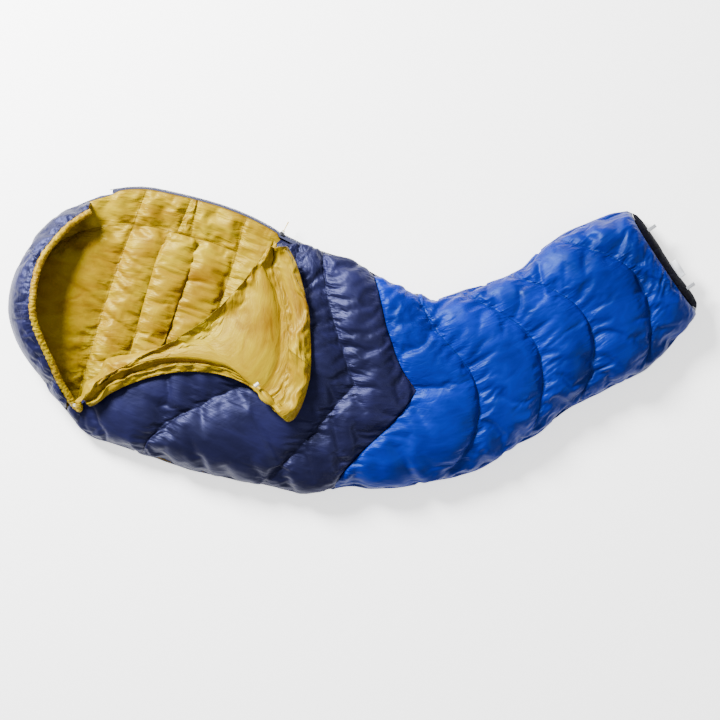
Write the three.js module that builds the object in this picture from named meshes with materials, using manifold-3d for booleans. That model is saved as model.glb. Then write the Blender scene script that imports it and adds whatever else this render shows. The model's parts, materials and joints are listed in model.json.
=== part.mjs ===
// A down-filled mummy sleeping bag, lying on its back on the floor with its front panel unzipped and
// folded open.
// Millimetres, +Z up. X runs from the head end to the foot end, +Y towards the zipped side.
// The origin is on the floor, under the middle of the bag.
//
// Most pieces are built in bag coordinates: s is the distance from the head end along the bag's curved
// centreline, v runs from -1 at the closed side to +1 at the zipped side, and z is the height.
import * as THREE from "three";
import { mergeVertices } from "three/addons/utils/BufferGeometryUtils.js";
import Module from "manifold-3d";

const wasm = await Module();
wasm.setup();

// ---------------------------------------------------------------- driving dimensions, mm
const BAG_LENGTH = 1990; // head end to foot end, along the centreline
const SHOULDER_WIDTH = 728;
const HEAD_WIDTH = 700;
const NECK_WIDTH = 720;
const HIP_WIDTH = 664;
const THIGH_WIDTH = 566;
const KNEE_WIDTH = 516;
const SHIN_WIDTH = 462;
const CALF_WIDTH = 408;
const FOOT_WIDTH = 446;
const FOOT_END_WIDTH = 372;
const HEAD_ROUND = 330; // length of the rounded head end
const HEAD_ROUND_POWER = 1.75; // 2 is an ellipse, less is more pointed
const FOOT_ROUND = 60; // length of the rounded foot corners
const FOOT_ROUND_DEPTH = 0.14; // share of the foot's half width that the rounding takes

const EDGE_HEIGHT = 36; // the side seam above the floor
const LEG_HEIGHT = 122; // top of the legs above the floor
const TORSO_HEIGHT = 132; // top of the chest above the floor
const FOLD_HEIGHT = 96; // top of the front panel where it folds back
const FOLD_RAMP = 330; // how far behind the fold the chest reaches its full height
const BACK_LOFT = 32; // thickness of the under layer in mid chamber
const FRONT_LOFT = 34; // thickness of the top layer in mid chamber
const QUILT_DIP = 9; // how much thinner a layer is at its seams
const HOLLOW_SIDE = 0.86; // share of the half width that the sleeper's hollow reaches
const CHAMBER_SIDE = 0.965; // share of the half width that the down reaches
const UNDER_POWER = 5; // squareness of the under side's edges
const TOP_POWER = 2.6; // squareness of the top's edges
const UNDER_FLAT = 0.99; // the share of the under side's full depth that counts as flat

const BACK_STEP = 65; // longest row of faces in the under layer, short enough to follow the zip's curve
const FRONT_CELLS = 3; // and in one of the top layer
const HEAD_CELLS = 8; // and in the first chamber, round the head
const INNER_COLUMN = 0.32; // share of the half width at which a layer's lines of faces run
const OUTER_COLUMN = 0.62;

const FABRIC = 1.0; // thickness of a shell or liner fabric with its folds
const BAFFLE_MESH = 0.8;
const GAP = 0.5; // clearance between pieces that touch

const FOLD_ZIP_AT = 655; // where the fold meets the zip, from the head end
const FOLD_ZIP_SIDE = 0.96;
const FOLD_HOOD_AT = 212; // where the fold meets the hood
const FOLD_HOOD_SIDE = -0.83;
const FOLD_SETBACK = 14; // the top layer ends this far behind the fold
const FOLD_CLEARANCE = 2; // under the open flap
const FLAP_TILT = 8.5; // degrees that the open flap slopes up from its fold
const FLAP_LOFT = 34;
const FLAP_EDGE_LOFT = 12;
const DRAFT_TUBE_WIDTH = 62;
const COLLAR_WIDTH = 56;
const CHIN_AT = 330; // the flap's free edge when closed, on the centreline
const CHIN_SKEW = 43;
const CHIN_SCOOP = 141;
const FLAP_CORNER_AT = 225; // the flap's corner when closed, from the head end
const FLAP_CORNER_SIDE = 1.03;
const ROLL_GAP = 5.5; // between the flap's down and the rolls at its rim
const ROLL_HEIGHT = 0.8; // share of the flap's loft that the rolls reach
const ROLL_START = 0.4; // the least share of its reach that the flap's down takes
const CORNER_SHARE = 0.42; // share of the flap's rim that runs beside the zip
const FLAP_ZIP_CELLS = 5; // rows of faces in the flap beside the zip
const FLAP_CHIN_CELLS = 7; // and along its chin edge
const TUBE_FIRST_ROW = 1; // the draft tube begins at this row
const CORNER_GAP = 0.004; // between the draft tube and the collar, along the rim
const FLAP_END = 0.035; // the flap narrows to nothing at both ends of its fold
const FLAP_HOOD_SHARE = 0.1; // share of the rim that turns in to the hood end of the fold
const BACK_COLLAR_AT = 372;
const BACK_COLLAR_WIDTH = 52;
const BACK_COLLAR_HEIGHT = 14;
const BACK_COLLAR_SIDES = [0.02, 0.62];

const HOOD_RIM_INSET = 100; // how far the hood's rim leans in over its base at the crown
const HOOD_RIM_HEIGHT = 196; // crown of the rim above the floor
const HOOD_END_HEIGHT = 104; // ends of the rim above the floor
const HOOD_END_CLOSED_AT = 160; // ends of the hood, from the head end
const HOOD_END_ZIP_AT = 200;
const HOOD_LOFT = 34;
const HOOD_RIM_LOFT = 20;
const HOOD_CURL = 81; // degrees that the hood's wall turns inwards at its rim
const HOOD_GORES = 4;
const HEM_RADIUS = 8;
const HEM_BORE = 4;
const HEM_GAP = 2.5;
const HEM_STEPS = 20;
const DRAWCORD_RADIUS = 1.4;
const DRAWCORD_END = 34; // length of cord past the hem
const HOOD_CENTRE_AT = 230;

const ZIP_SEAM = 4; // from the bag's edge to its zip tape
const ZIP_TAPE = 11; // width of one zip tape beside its coil
const ZIP_TAPE_THICKNESS = 0.8;
const COIL_WIDTH = 2;
const COIL_THICKNESS = 2.2;
const ZIP_LAP = 0.3; // between the two tapes of the closed zip, and its two coils
const ZIP_HEAD_AT = 240; // where the zip's top stop is, from the head end
const FLAP_ZIP_SPAN = [0.06, 0.99]; // shares of the flap's zip edge between which its tape runs
const ZIP_FOOT_AT = 1290; // where the closed zip ends
const ZIP_STEP = 30; // length of the straight pieces that a curved zip is made of
const STOP_LENGTH = 5;
const SLIDER_LENGTH = 13;
const SLIDER_WIDTH = 10;
const SLIDER_PLATE = 1.3;
const SLIDER_WALL = 1.6;
const SLIDER_CLEARANCE = 0.8; // over and under the coils
const SLIDER_SIDE_CLEARANCE = 1.7; // beside the coils, which curve with the bag's edge
const SLIDER_AT = 668;
const BAIL_RADIUS = 0.9; // the slider's bar that holds the pull
const BAIL_LENGTH = 6;
const PULL_EYE = 2; // inner radius of the pull's eye
const PULL_LENGTH = 26;
const PULL_RADIUS = 1.1;
const PULL_FLARE = 1.6; // how much thicker the pull's free end is

const LOOP_WIDTH = 10;
const LOOP_REACH = 30;
const WEBBING_THICKNESS = 1.1;
const LOOP_SLOT = 5; // height of the space inside the folded webbing
const LOOP_SIDE = 0.62; // share of the foot's half width where each loop is sewn
const LABEL_WIDTH = 52;
const LABEL_REACH = 24;
const LABEL_THICKNESS = 0.9;
const LABEL_SIDE = 0.24;
const TRIM_HEIGHT = 66; // height of the loops and the label on the foot end

const LOCK_RADIUS = 7;
const LOCK_HEIGHT = 17;
const LOCK_WALL = 1.6;
const LOCK_CLEARANCE = 0.4;
const BUTTON_STAND = 5; // how far the button stands out of its lock
const LOCK_PLACE = 0.5; // along the free end of the drawcord
const LOCK_HOLE_PLACE = 0.62; // share of the lock's height at which the cord passes
const LOCK_CORD_HOLE = 2;
const TOGGLE_RADIUS = 5;
const TOGGLE_LENGTH = 14;
const TOGGLE_PLACE = 0.5; // along the flap's rim
const SPRING_RADIUS = 2.6;
const SPRING_WIRE = 0.35;
const SPRING_TURNS = 2;
const SPRING_PITCH = 0.8; // at its closed length

// The bag's lie on the floor: points of its centreline, head end first, scaled to BAG_LENGTH.
const LIE = [
  [-966, 78], [-860, 86], [-760, 84], [-640, 66], [-480, 22], [-330, -40], [-170, -88], [0, -124],
  [150, -146], [262, -134], [382, -86], [500, -26], [600, 28], [700, 92], [790, 154], [898, 226],
];
// Widths of the cut, each at its distance from the head end.
const CUT = [
  [0, HEAD_WIDTH], [330, NECK_WIDTH], [500, SHOULDER_WIDTH], [900, HIP_WIDTH], [1080, THIGH_WIDTH],
  [1220, KNEE_WIDTH], [1400, SHIN_WIDTH], [1580, CALF_WIDTH], [1780, FOOT_WIDTH],
  [BAG_LENGTH, FOOT_END_WIDTH],
];
const CHEVRON_AT = 1182; // point of the navy and blue seam, on the centreline
const CHEVRON_SWEEP = 182; // how far its ends lie back towards the head
const TORSO_SEAM_AT = 1004;
const SHOULDER_SEAM_SHARE = 0.5; // its place between the fold and the torso seam
const LEG_SEAMS_AT = [1345, 1545, 1705, 1890];
const LEG_SEAM_BOW = 120; // how far a leg seam's ends lie back
const BACK_SEAMS_AT = [470, 985, 1500];
const BACK_COLOUR_SEAM = 2; // the under shell changes colour at this seam

// ---------------------------------------------------------------- colours and finishes
const cloth = (color, roughness) => new THREE.MeshStandardMaterial({ color, roughness, metalness: 0 });
const metal = (color, roughness) => new THREE.MeshStandardMaterial({ color, roughness, metalness: 0.9 });
const NAVY_SHELL = cloth(0x1c2358, 0.42);
const BLUE_SHELL = cloth(0x0552c4, 0.4);
const YELLOW_LINER = cloth(0xd2b800, 0.45);
const END_CLOTH = cloth(0x14142a, 0.7);
const DOWN = cloth(0xf2efe6, 0.95);
const BAFFLE_NET = cloth(0xe4e4e0, 0.9);
const ZIP_CLOTH = cloth(0x11152e, 0.8);
const COIL_PLASTIC = cloth(0x0d1022, 0.4);
const SLIDER_METAL = metal(0x2a2c33, 0.35);
const PULL_CORD = cloth(0xc9a400, 0.7);
const DRAWCORD = cloth(0x20222c, 0.7);
const WEBBING = cloth(0x8d8f92, 0.8);
const LABEL_CLOTH = cloth(0xeceff4, 0.7);
const LOCK_PLASTIC = cloth(0xd9d6c4, 0.35);
const SPRING_STEEL = metal(0x9a9ca0, 0.3);

// ---------------------------------------------------------------- shape helpers
const clamp01 = (x) => Math.min(1, Math.max(0, x));
const mix = (a, b, t) => a + (b - a) * t;
const smooth = (t) => t * t * (3 - 2 * t);
const superRound = (x, power) => Math.pow(Math.max(0, 1 - Math.pow(Math.abs(x), power)), 1 / power);
const evenSteps = (from, to, count) => Array.from({ length: count + 1 }, (_, i) => mix(from, to, i / count));
const pick = (list, share) => list[Math.round(share * (list.length - 1))];

// The geometry with its faces turned to point outwards.
function facingOut(geometry) {
  const p = geometry.attributes.position;
  const index = geometry.index.array;
  const corners = [new THREE.Vector3(), new THREE.Vector3(), new THREE.Vector3()];
  let volume = 0;
  for (let i = 0; i < index.length; i += 3) {
    corners.forEach((corner, k) => corner.fromBufferAttribute(p, index[i + k]));
    volume += corners[0].dot(corners[1].cross(corners[2]));
  }
  for (let i = 0; volume < 0 && i < index.length; i += 3) {
    [index[i], index[i + 1]] = [index[i + 1], index[i]];
  }
  geometry.computeVertexNormals();
  return geometry;
}

function welded(geometry) {
  const bare = geometry.clone();
  bare.deleteAttribute("normal");
  bare.deleteAttribute("uv");
  return facingOut(mergeVertices(bare, 1e-4));
}

// Turns the diagonals of a box's lower face to run as the upper face's do, so that stacked pieces with
// the same rows and columns stay parallel.
function turnLowerDiagonals(box) {
  const index = box.index.array;
  const { start, count } = box.groups[5];
  for (let i = start; i < start + count; i += 6) {
    const [a, b, d, , c] = index.slice(i, i + 6);
    index.set([a, b, c, a, c, d], i);
  }
}

// A closed solid on a grid of rows and columns, two layers thick. place(row, column, w) gives the
// point at one row value, one column value and w, which is 0 on the lower face and 1 on the upper.
function gridSolid(rows, columns, place) {
  const box = new THREE.BoxGeometry(1, 1, 1, rows.length - 1, columns.length - 1, 1);
  const p = box.attributes.position;
  for (let i = 0; i < p.count; i++) {
    const [row, column] = [pick(rows, p.getX(i) + 0.5), pick(columns, p.getY(i) + 0.5)];
    const at = place(row, column, Math.round(p.getZ(i) + 0.5));
    p.setXYZ(i, at.x, at.y, at.z);
  }
  turnLowerDiagonals(box);
  return welded(box);
}

function solid(geometry) {
  const mesh = welded(geometry);
  const vertProperties = new Float32Array(mesh.attributes.position.array);
  const triVerts = new Uint32Array(mesh.index.array);
  return new wasm.Manifold(new wasm.Mesh({ numProp: 3, vertProperties, triVerts }));
}

function geometryOf(manifold) {
  const mesh = manifold.getMesh();
  const geometry = new THREE.BufferGeometry();
  geometry.setAttribute("position", new THREE.BufferAttribute(new Float32Array(mesh.vertProperties), 3));
  geometry.setIndex(new THREE.BufferAttribute(new Uint32Array(mesh.triVerts), 1));
  geometry.computeVertexNormals();
  return geometry;
}

function joined(...pieces) {
  return geometryOf(pieces.map(solid).reduce((all, next) => all.add(next)));
}

function cutBy(piece, ...cutters) {
  return geometryOf(cutters.map(solid).reduce((rest, next) => rest.subtract(next), solid(piece)));
}

// A box given by its size and its middle.
const block = (sx, sy, sz, x, y, z) => new THREE.BoxGeometry(sx, sy, sz).translate(x, y, z);

// A rod, or a hose when it has a bore, of round section along a curve.
function rod(curve, radius, steps, halfSides, bore = 0) {
  const section = new THREE.Shape();
  section.absarc(0, 0, radius, 0, Math.PI * 2);
  if (bore > 0) section.holes.push(new THREE.Path().absarc(0, 0, bore, 0, Math.PI * 2, true));
  const settings = { steps, curveSegments: halfSides, bevelEnabled: false, extrudePath: curve };
  return new THREE.ExtrudeGeometry(section, settings);
}

const bag = new THREE.Group();
function add(name, geometry, material, parent = bag) {
  const mesh = new THREE.Mesh(geometry, material);
  mesh.name = name;
  parent.add(mesh);
  return mesh;
}

// ---------------------------------------------------------------- the bag's plan
function scaledLie() {
  const curveThrough = (scale) => {
    const points = LIE.map(([x, y]) => new THREE.Vector3(x * scale, y * scale, 0));
    return new THREE.CatmullRomCurve3(points, false, "chordal");
  };
  const curve = curveThrough(BAG_LENGTH / curveThrough(1).getLength());
  curve.arcLengthDivisions = 800;
  return curve;
}
const centreline = scaledLie();

// The cut's half width at s, without the rounding of its two ends.
function cutHalfWidth(s) {
  const next = Math.max(1, CUT.findIndex(([at]) => at >= s));
  const [[fromAt, fromWidth], [toAt, toWidth]] = [CUT[next - 1], CUT[next]];
  return mix(fromWidth, toWidth, smooth(clamp01((s - fromAt) / (toAt - fromAt)))) / 2;
}

function halfWidth(s) {
  const head = s < HEAD_ROUND ? superRound(1 - s / HEAD_ROUND, HEAD_ROUND_POWER) : 1;
  const toFoot = Math.max(0, BAG_LENGTH - s);
  const foot = toFoot < FOOT_ROUND ? 1 - FOOT_ROUND_DEPTH * (1 - superRound(1 - toFoot / FOOT_ROUND, 2)) : 1;
  return cutHalfWidth(Math.min(s, BAG_LENGTH)) * head * foot;
}

// The directions of the bag at s: along it, and across it towards the zip.
function bagAxes(s) {
  const along = centreline.getTangentAt(clamp01(s / BAG_LENGTH));
  return { along, across: new THREE.Vector3(-along.y, along.x, 0) };
}

// A point at s along the bag, y to the zipped side of the centreline and z above the floor.
function bagPoint(s, y, z) {
  const onLine = centreline.getPointAt(clamp01(s / BAG_LENGTH));
  return onLine.addScaledVector(bagAxes(s).across, y).setZ(z);
}

// ---------------------------------------------------------------- seams and heights
const CHAMBER_COLUMNS = [
  -CHAMBER_SIDE, -HOLLOW_SIDE, -OUTER_COLUMN, -INNER_COLUMN, 0,
  INNER_COLUMN, OUTER_COLUMN, HOLLOW_SIDE, CHAMBER_SIDE,
];
const SHELL_COLUMNS = [-1, ...CHAMBER_COLUMNS, 1];
const INSET = FABRIC + GAP; // from a shell's outer face to the down

const foldEnd = (s, v) => bagPoint(s, v * halfWidth(s), FOLD_HEIGHT + FOLD_CLEARANCE);
const foldStart = foldEnd(FOLD_ZIP_AT, FOLD_ZIP_SIDE);
const foldStop = foldEnd(FOLD_HOOD_AT, FOLD_HOOD_SIDE);
const foldLength = foldStart.distanceTo(foldStop);
const foldAlong = foldStop.clone().sub(foldStart).normalize();
const foldAway = new THREE.Vector3(-foldAlong.y, foldAlong.x, 0);

// How far a place on the bag lies behind the fold.
const behindFold = (s, v) => bagPoint(s, v * halfWidth(s), foldStart.z).sub(foldStart).dot(foldAway);

// Where the top layer begins along the bag, just behind the fold.
function foldEdge(v) {
  let [low, high] = [0, TORSO_SEAM_AT];
  for (let i = 0; i < 30; i++) {
    const middle = (low + high) / 2;
    if (behindFold(middle, v) < FOLD_SETBACK) low = middle;
    else high = middle;
  }
  return low;
}

const chevron = (v) => CHEVRON_AT - CHEVRON_SWEEP * Math.abs(v);
const torsoSeam = (v) => TORSO_SEAM_AT - CHEVRON_SWEEP * Math.abs(v);
const shoulderSeam = (v) => mix(foldEdge(v), torsoSeam(v), SHOULDER_SEAM_SHARE);
const legSeam = (at) => (v) => at - LEG_SEAM_BOW * v * v;
const straightSeam = (at) => () => at;

// The place between seams: 2.5 is half way from the third seam to the fourth.
function alongSeams(seams, place, v) {
  const i = Math.min(Math.floor(place), seams.length - 2);
  return mix(seams[i](v), seams[i + 1](v), place - i);
}

// 0 in mid chamber, 1 on a seam.
const nearSeam = (place) => Math.pow(Math.abs(2 * (place - Math.floor(place)) - 1), 4);

// Outside of the under layer: flat on the floor in the middle, turning up at the edges.
const UNDER_EDGE = EDGE_HEIGHT - GAP / 2;
const TOP_EDGE = EDGE_HEIGHT + GAP / 2;
const underSide = (v, inset) =>
  UNDER_EDGE - (UNDER_EDGE - inset) * Math.min(1, superRound(v, UNDER_POWER) / UNDER_FLAT);

function topHeight(s, v) {
  const rise = smooth(clamp01((s - TORSO_SEAM_AT) / (CHEVRON_AT - TORSO_SEAM_AT)));
  const full = mix(TORSO_HEIGHT, LEG_HEIGHT, rise);
  return mix(FOLD_HEIGHT, full, smooth(clamp01(behindFold(s, v) / FOLD_RAMP)));
}

// Outside of the top layer, with its quilting.
function topSide(s, v, place, inset) {
  const dome = superRound(v, TOP_POWER);
  return TOP_EDGE + (topHeight(s, v) - TOP_EDGE - inset - QUILT_DIP * nearSeam(place)) * dome;
}

// Faces of the hollow that the sleeper lies in.
const hollowShare = (v) => 1 - Math.pow(clamp01(Math.abs(v) / HOLLOW_SIDE), 4);
const hollowFloor = (v, place) =>
  mix(EDGE_HEIGHT - GAP, BACK_LOFT + 2 * INSET - QUILT_DIP * nearSeam(place), hollowShare(v));
const hollowRoof = (s, v) =>
  mix(EDGE_HEIGHT + GAP, topHeight(s, v) - FRONT_LOFT - INSET, hollowShare(v));

// ---------------------------------------------------------------- the layers' pieces
const underFaces = {
  outer: (s, v, place, inset) => underSide(v, inset),
  inner: (s, v, place, inset) => hollowFloor(v, place) - inset,
  upwards: false,
};
const topFaces = {
  outer: topSide,
  inner: (s, v, place, inset) => hollowRoof(s, v) + inset,
  upwards: true,
};

// One down chamber from seam number i to the next. It stops short of the net walls on both.
function chamber(faces, seams, rows, i) {
  const clearance = BAFFLE_MESH / 2 + GAP;
  const shift = [i > 0 ? clearance : 0, i < rows.length - 1 ? -clearance : 0];
  return gridSolid(rows[i], CHAMBER_COLUMNS, (t, v, w) => {
    const place = Math.min(i + t, i + 0.9999);
    const s = mix(seams[i](v), seams[i + 1](v), t);
    const face = w === 1 === faces.upwards ? faces.outer : faces.inner;
    const z = face(s, v, place, INSET);
    return bagPoint(s + mix(...shift, t), v * (halfWidth(s) - INSET), z);
  });
}

// The net wall that stands on seam number i between two chambers.
function baffle(faces, seams, i) {
  return gridSolid([-BAFFLE_MESH / 2, BAFFLE_MESH / 2], CHAMBER_COLUMNS, (offset, v, w) => {
    const s = seams[i](v) + offset;
    const face = w === 1 === faces.upwards ? faces.outer : faces.inner;
    return bagPoint(s, v * (halfWidth(s) - INSET), face(s, v, i, INSET));
  });
}

// The places of a layer's rows, from seam number first to seam number last.
function rowPlaces(rows, first, last) {
  const inChamber = (steps, i) => steps.slice(0, -1).map((t) => first + i + t);
  return [...rows.slice(first, last).flatMap(inChamber), last];
}

// A shell fabric from seam number first to seam number last, from one side seam to the other.
function shell(faces, seams, rows, first, last) {
  return gridSolid(rowPlaces(rows, first, last), SHELL_COLUMNS, (place, v, w) => {
    const inside = w === 1 === faces.upwards ? 0 : FABRIC;
    const trim = place === first ? GAP / 2 : place === last ? -GAP / 2 : 0;
    const s = alongSeams(seams, place, v) + trim;
    return bagPoint(s, v * (halfWidth(s) - inside), faces.outer(s, v, place, inside));
  });
}

// The liner fabric on the floor or the roof of the hollow.
function liner(faces, seams, rows) {
  return gridSolid(rowPlaces(rows, 0, rows.length), CHAMBER_COLUMNS, (place, v, w) => {
    const depth = w === 1 === faces.upwards ? FABRIC : 0;
    const s = alongSeams(seams, place, v);
    return bagPoint(s, v * (halfWidth(s) - INSET), faces.inner(s, v, place, depth));
  });
}

// A layer's down chambers, and the net walls between them.
function addDown(side, faces, seams, rows) {
  rows.forEach((_, i) => add(`${side}_down_chamber_${i + 1}`, chamber(faces, seams, rows, i), DOWN));
  rows.slice(1).forEach((_, i) => add(`${side}_baffle_${i + 1}`, baffle(faces, seams, i + 1), BAFFLE_NET));
}

const headRows = evenSteps(0, 1, HEAD_CELLS).map((t) => t * t); // closer together round the head
const headEnd = straightSeam(GAP);
const footEnd = straightSeam(BAG_LENGTH - FABRIC - GAP);

function underLayer() {
  const seams = [headEnd, ...BACK_SEAMS_AT.map(straightSeam), footEnd];
  const chamberEnds = [...BACK_SEAMS_AT.slice(1), BAG_LENGTH];
  const chamberRows = BACK_SEAMS_AT.map((from, i) =>
    evenSteps(0, 1, Math.ceil((chamberEnds[i] - from) / BACK_STEP)));
  const rows = [headRows, ...chamberRows];
  add("back_shell_torso", shell(underFaces, seams, rows, 0, BACK_COLOUR_SEAM), NAVY_SHELL);
  add("back_shell_legs", shell(underFaces, seams, rows, BACK_COLOUR_SEAM, rows.length), BLUE_SHELL);
  addDown("back", underFaces, seams, rows);
  add("back_liner", liner(underFaces, seams, rows), YELLOW_LINER);
}

function topLayer() {
  const seams = [foldEdge, shoulderSeam, torsoSeam, chevron, ...LEG_SEAMS_AT.map(legSeam), footEnd];
  const rows = seams.slice(1).map(() => evenSteps(0, 1, FRONT_CELLS));
  const colourSeam = seams.indexOf(chevron);
  add("front_shell_torso", shell(topFaces, seams, rows, 0, colourSeam), NAVY_SHELL);
  add("front_shell_legs", shell(topFaces, seams, rows, colourSeam, rows.length), BLUE_SHELL);
  addDown("front", topFaces, seams, rows);
  add("front_liner", liner(topFaces, seams, rows), YELLOW_LINER);
}

// The collar across the back of the neck, a ridge on the back liner.
function backCollar() {
  const columns = evenSteps(...BACK_COLLAR_SIDES, 6);
  const base = BACK_LOFT + 2 * INSET + 2 * GAP;
  const ridge = gridSolid(evenSteps(-1, 1, 6), columns, (x, v, w) => {
    const s = BACK_COLLAR_AT + x * BACK_COLLAR_WIDTH / 2;
    const taper = superRound(2 * (v - columns[0]) / (columns.at(-1) - columns[0]) - 1, 4);
    const height = FABRIC + (BACK_COLLAR_HEIGHT - FABRIC) * superRound(x, 2) * taper;
    return bagPoint(s, v * halfWidth(s), base + w * height);
  });
  add("back_collar", ridge, YELLOW_LINER);
}

// ---------------------------------------------------------------- the folded flap
// The flap is laid out in its own plane: f runs along the fold from the zip to the hood, e away from
// the fold, and n is the height over the plane that the flap turns in.
const flap = new THREE.Group();
flap.matrixAutoUpdate = false;
flap.matrix
  .makeBasis(foldAlong, foldAway, new THREE.Vector3(0, 0, 1))
  .multiply(new THREE.Matrix4().makeRotationX(THREE.MathUtils.degToRad(FLAP_TILT)))
  .premultiply(new THREE.Matrix4().makeTranslation(foldStart));

// Where a point of the closed bag's plan lies in the flap's own layout.
function flapLayout(closed) {
  const rel = closed.clone().sub(foldStart);
  return new THREE.Vector2(rel.dot(foldAlong), -rel.dot(foldAway));
}

const chinLine = (v) => CHIN_AT + CHIN_SKEW * v - CHIN_SCOOP * v * v;

// The flap's edge beside the zip, from the fold to its corner, moved out from the rim.
function flapZipEdge(t, out) {
  const s = mix(FOLD_ZIP_AT, FLAP_CORNER_AT, t);
  return flapLayout(bagPoint(s, mix(FOLD_ZIP_SIDE, FLAP_CORNER_SIDE, t) * halfWidth(s) + out, 0));
}

// The flap's rim from the zip end of the fold, past its corner, to the hood end.
function flapRim(a) {
  if (a <= CORNER_SHARE) return flapZipEdge(a / CORNER_SHARE, 0);
  const v = mix(FLAP_CORNER_SIDE, FOLD_HOOD_SIDE, (a - CORNER_SHARE) / (1 - CORNER_SHARE));
  const toHood = (a - 1 + FLAP_HOOD_SHARE) / FLAP_HOOD_SHARE;
  const s = mix(chinLine(v), FOLD_HOOD_AT, smooth(clamp01(toHood)));
  return flapLayout(bagPoint(s, v * halfWidth(s), 0));
}

const flapZipRows = evenSteps(FLAP_END, CORNER_SHARE, FLAP_ZIP_CELLS);
const flapFold = (a) => new THREE.Vector2(a * foldLength, FOLD_CLEARANCE);
const flapPlan = (a, b) => flapFold(a).lerp(flapRim(a), b);
const flapReach = (a) => flapFold(a).distanceTo(flapRim(a));

// Where the down of the flap ends and its draft tube or collar begins, as a share of its reach.
function rollStart(a) {
  const width = a <= CORNER_SHARE ? DRAFT_TUBE_WIDTH : COLLAR_WIDTH;
  return Math.max(ROLL_START, 1 - width / flapReach(a));
}

const lens = (t) => 1 - Math.pow(2 * t - 1, 4);
const endTaper = (a) => superRound(2 * (a - FLAP_END / 2) / (1 - FLAP_END) - 1, 6);

// The height of the flap's liner over its plane, at share t of the down's own width.
function linerHeight(a, t) {
  const loft = mix(FLAP_EDGE_LOFT, FLAP_LOFT, lens(t)) * endTaper(a);
  return 2 * INSET + Math.max(loft, FABRIC);
}

const flapPoint = (a, b, n) => {
  const plan = flapPlan(a, b);
  return new THREE.Vector3(plan.x, plan.y, n);
};

function flapLayers() {
  const chinRows = evenSteps(CORNER_SHARE, 1 - FLAP_END, FLAP_CHIN_CELLS);
  const rows = [...flapZipRows, ...chinRows.slice(1)];
  const shares = [0, 0.15, 0.4, 0.7, 0.9, 1];
  const alongRoll = [0, 0.2, 0.5, 0.8, 1];
  const shellCloth = gridSolid(rows, evenSteps(0, 1, 6), (a, b, w) => flapPoint(a, b, w * FABRIC));
  add("flap_shell", shellCloth, NAVY_SHELL, flap);
  const down = gridSolid(rows, shares, (a, t, w) =>
    flapPoint(a, t * rollStart(a), w === 0 ? INSET : linerHeight(a, t) - INSET));
  add("flap_down", down, DOWN, flap);
  const lining = gridSolid(rows, shares, (a, t, w) =>
    flapPoint(a, t * rollStart(a), linerHeight(a, t) - FABRIC * (1 - w)));
  add("flap_liner", lining, YELLOW_LINER, flap);
  const roll = (ends) => (a, t, w) => {
    const start = rollStart(a) + ROLL_GAP / flapReach(a);
    const height = mix(FLAP_EDGE_LOFT, FLAP_LOFT * ROLL_HEIGHT, lens(t)) * superRound(ends(a), 4);
    return flapPoint(a, mix(start, 1, t), INSET + w * Math.max(height, FABRIC));
  };
  const zipShare = (a) => (a - FLAP_END) / (CORNER_SHARE - FLAP_END);
  const chinShare = (a) => (a - chinRows[0]) / (chinRows.at(-1) - chinRows[0]);
  const tubeRows = flapZipRows.slice(TUBE_FIRST_ROW).map((a) => Math.min(a, CORNER_SHARE - CORNER_GAP));
  add("draft_tube", gridSolid(tubeRows, alongRoll, roll((a) => 0.9 - 0.9 * zipShare(a))), YELLOW_LINER, flap);
  const collarRows = chinRows.slice(0, -1).map((a) => Math.max(a, CORNER_SHARE + CORNER_GAP));
  add("front_collar", gridSolid(collarRows, alongRoll, roll((a) => 0.95 * chinShare(a))), YELLOW_LINER, flap);
}

// ---------------------------------------------------------------- the hood
const hoodEndAngle = (at) => Math.acos(Math.pow(1 - at / HEAD_ROUND, HEAD_ROUND_POWER / 2));
const HOOD_ANGLES = [-hoodEndAngle(HOOD_END_CLOSED_AT), hoodEndAngle(HOOD_END_ZIP_AT)];
const hoodCentre = bagPoint(HOOD_CENTRE_AT, 0, 0);

// A point of the hood's wall. t runs round the head from the closed side to the zip, k from the base
// to the rim, and depth is measured into the wall from its outer face.
function hoodPoint(t, k, depth) {
  const angle = mix(...HOOD_ANGLES, t);
  const s = HEAD_ROUND * (1 - Math.pow(Math.cos(angle), 2 / HEAD_ROUND_POWER));
  const across = Math.sign(angle) * Math.pow(Math.abs(Math.sin(angle)), 2 / HEAD_ROUND_POWER);
  const base = bagPoint(s, across * (cutHalfWidth(s) - GAP), EDGE_HEIGHT + GAP);
  const inwards = hoodCentre.clone().setZ(0).sub(base.clone().setZ(0)).normalize();
  const rise = (mix(HOOD_END_HEIGHT, HOOD_RIM_HEIGHT, Math.sin(Math.PI * t)) - HEM_RADIUS - base.z);
  const lean = HOOD_RIM_INSET * rise / HOOD_RIM_HEIGHT;
  const curl = THREE.MathUtils.degToRad(HOOD_CURL) * k;
  const out = lean * (1 - Math.cos(curl)) + depth * Math.cos(curl);
  base.addScaledVector(inwards, out);
  base.z += rise * Math.sin(curl) - depth * Math.sin(curl);
  return base;
}

const hoodLoft = (k) => mix(HOOD_LOFT, HOOD_RIM_LOFT, k);

function hood() {
  const gores = evenSteps(0, HOOD_GORES, HOOD_GORES * 3);
  const heights = [0, 0.25, 0.5, 0.75, 1];
  const turn = (place) => place / HOOD_GORES;
  add("hood_shell", gridSolid(gores, heights, (g, k, w) => hoodPoint(turn(g), k, w * FABRIC)), NAVY_SHELL);
  const lining = gridSolid(gores, heights, (g, k, w) => hoodPoint(turn(g), k, hoodLoft(k) - w * FABRIC));
  add("hood_liner", lining, YELLOW_LINER);
  const seamGap = GAP / HEAD_ROUND;
  for (let i = 0; i < HOOD_GORES; i++) {
    const rows = [0, 1, 2, 3].map((j) => i + mix(seamGap, 1 - seamGap, j / 3));
    const gore = gridSolid(rows, heights, (g, k, w) =>
      hoodPoint(turn(g), k, w === 1 ? INSET : hoodLoft(k) - INSET));
    add(`hood_down_gore_${i + 1}`, gore, DOWN);
  }
}

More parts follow.
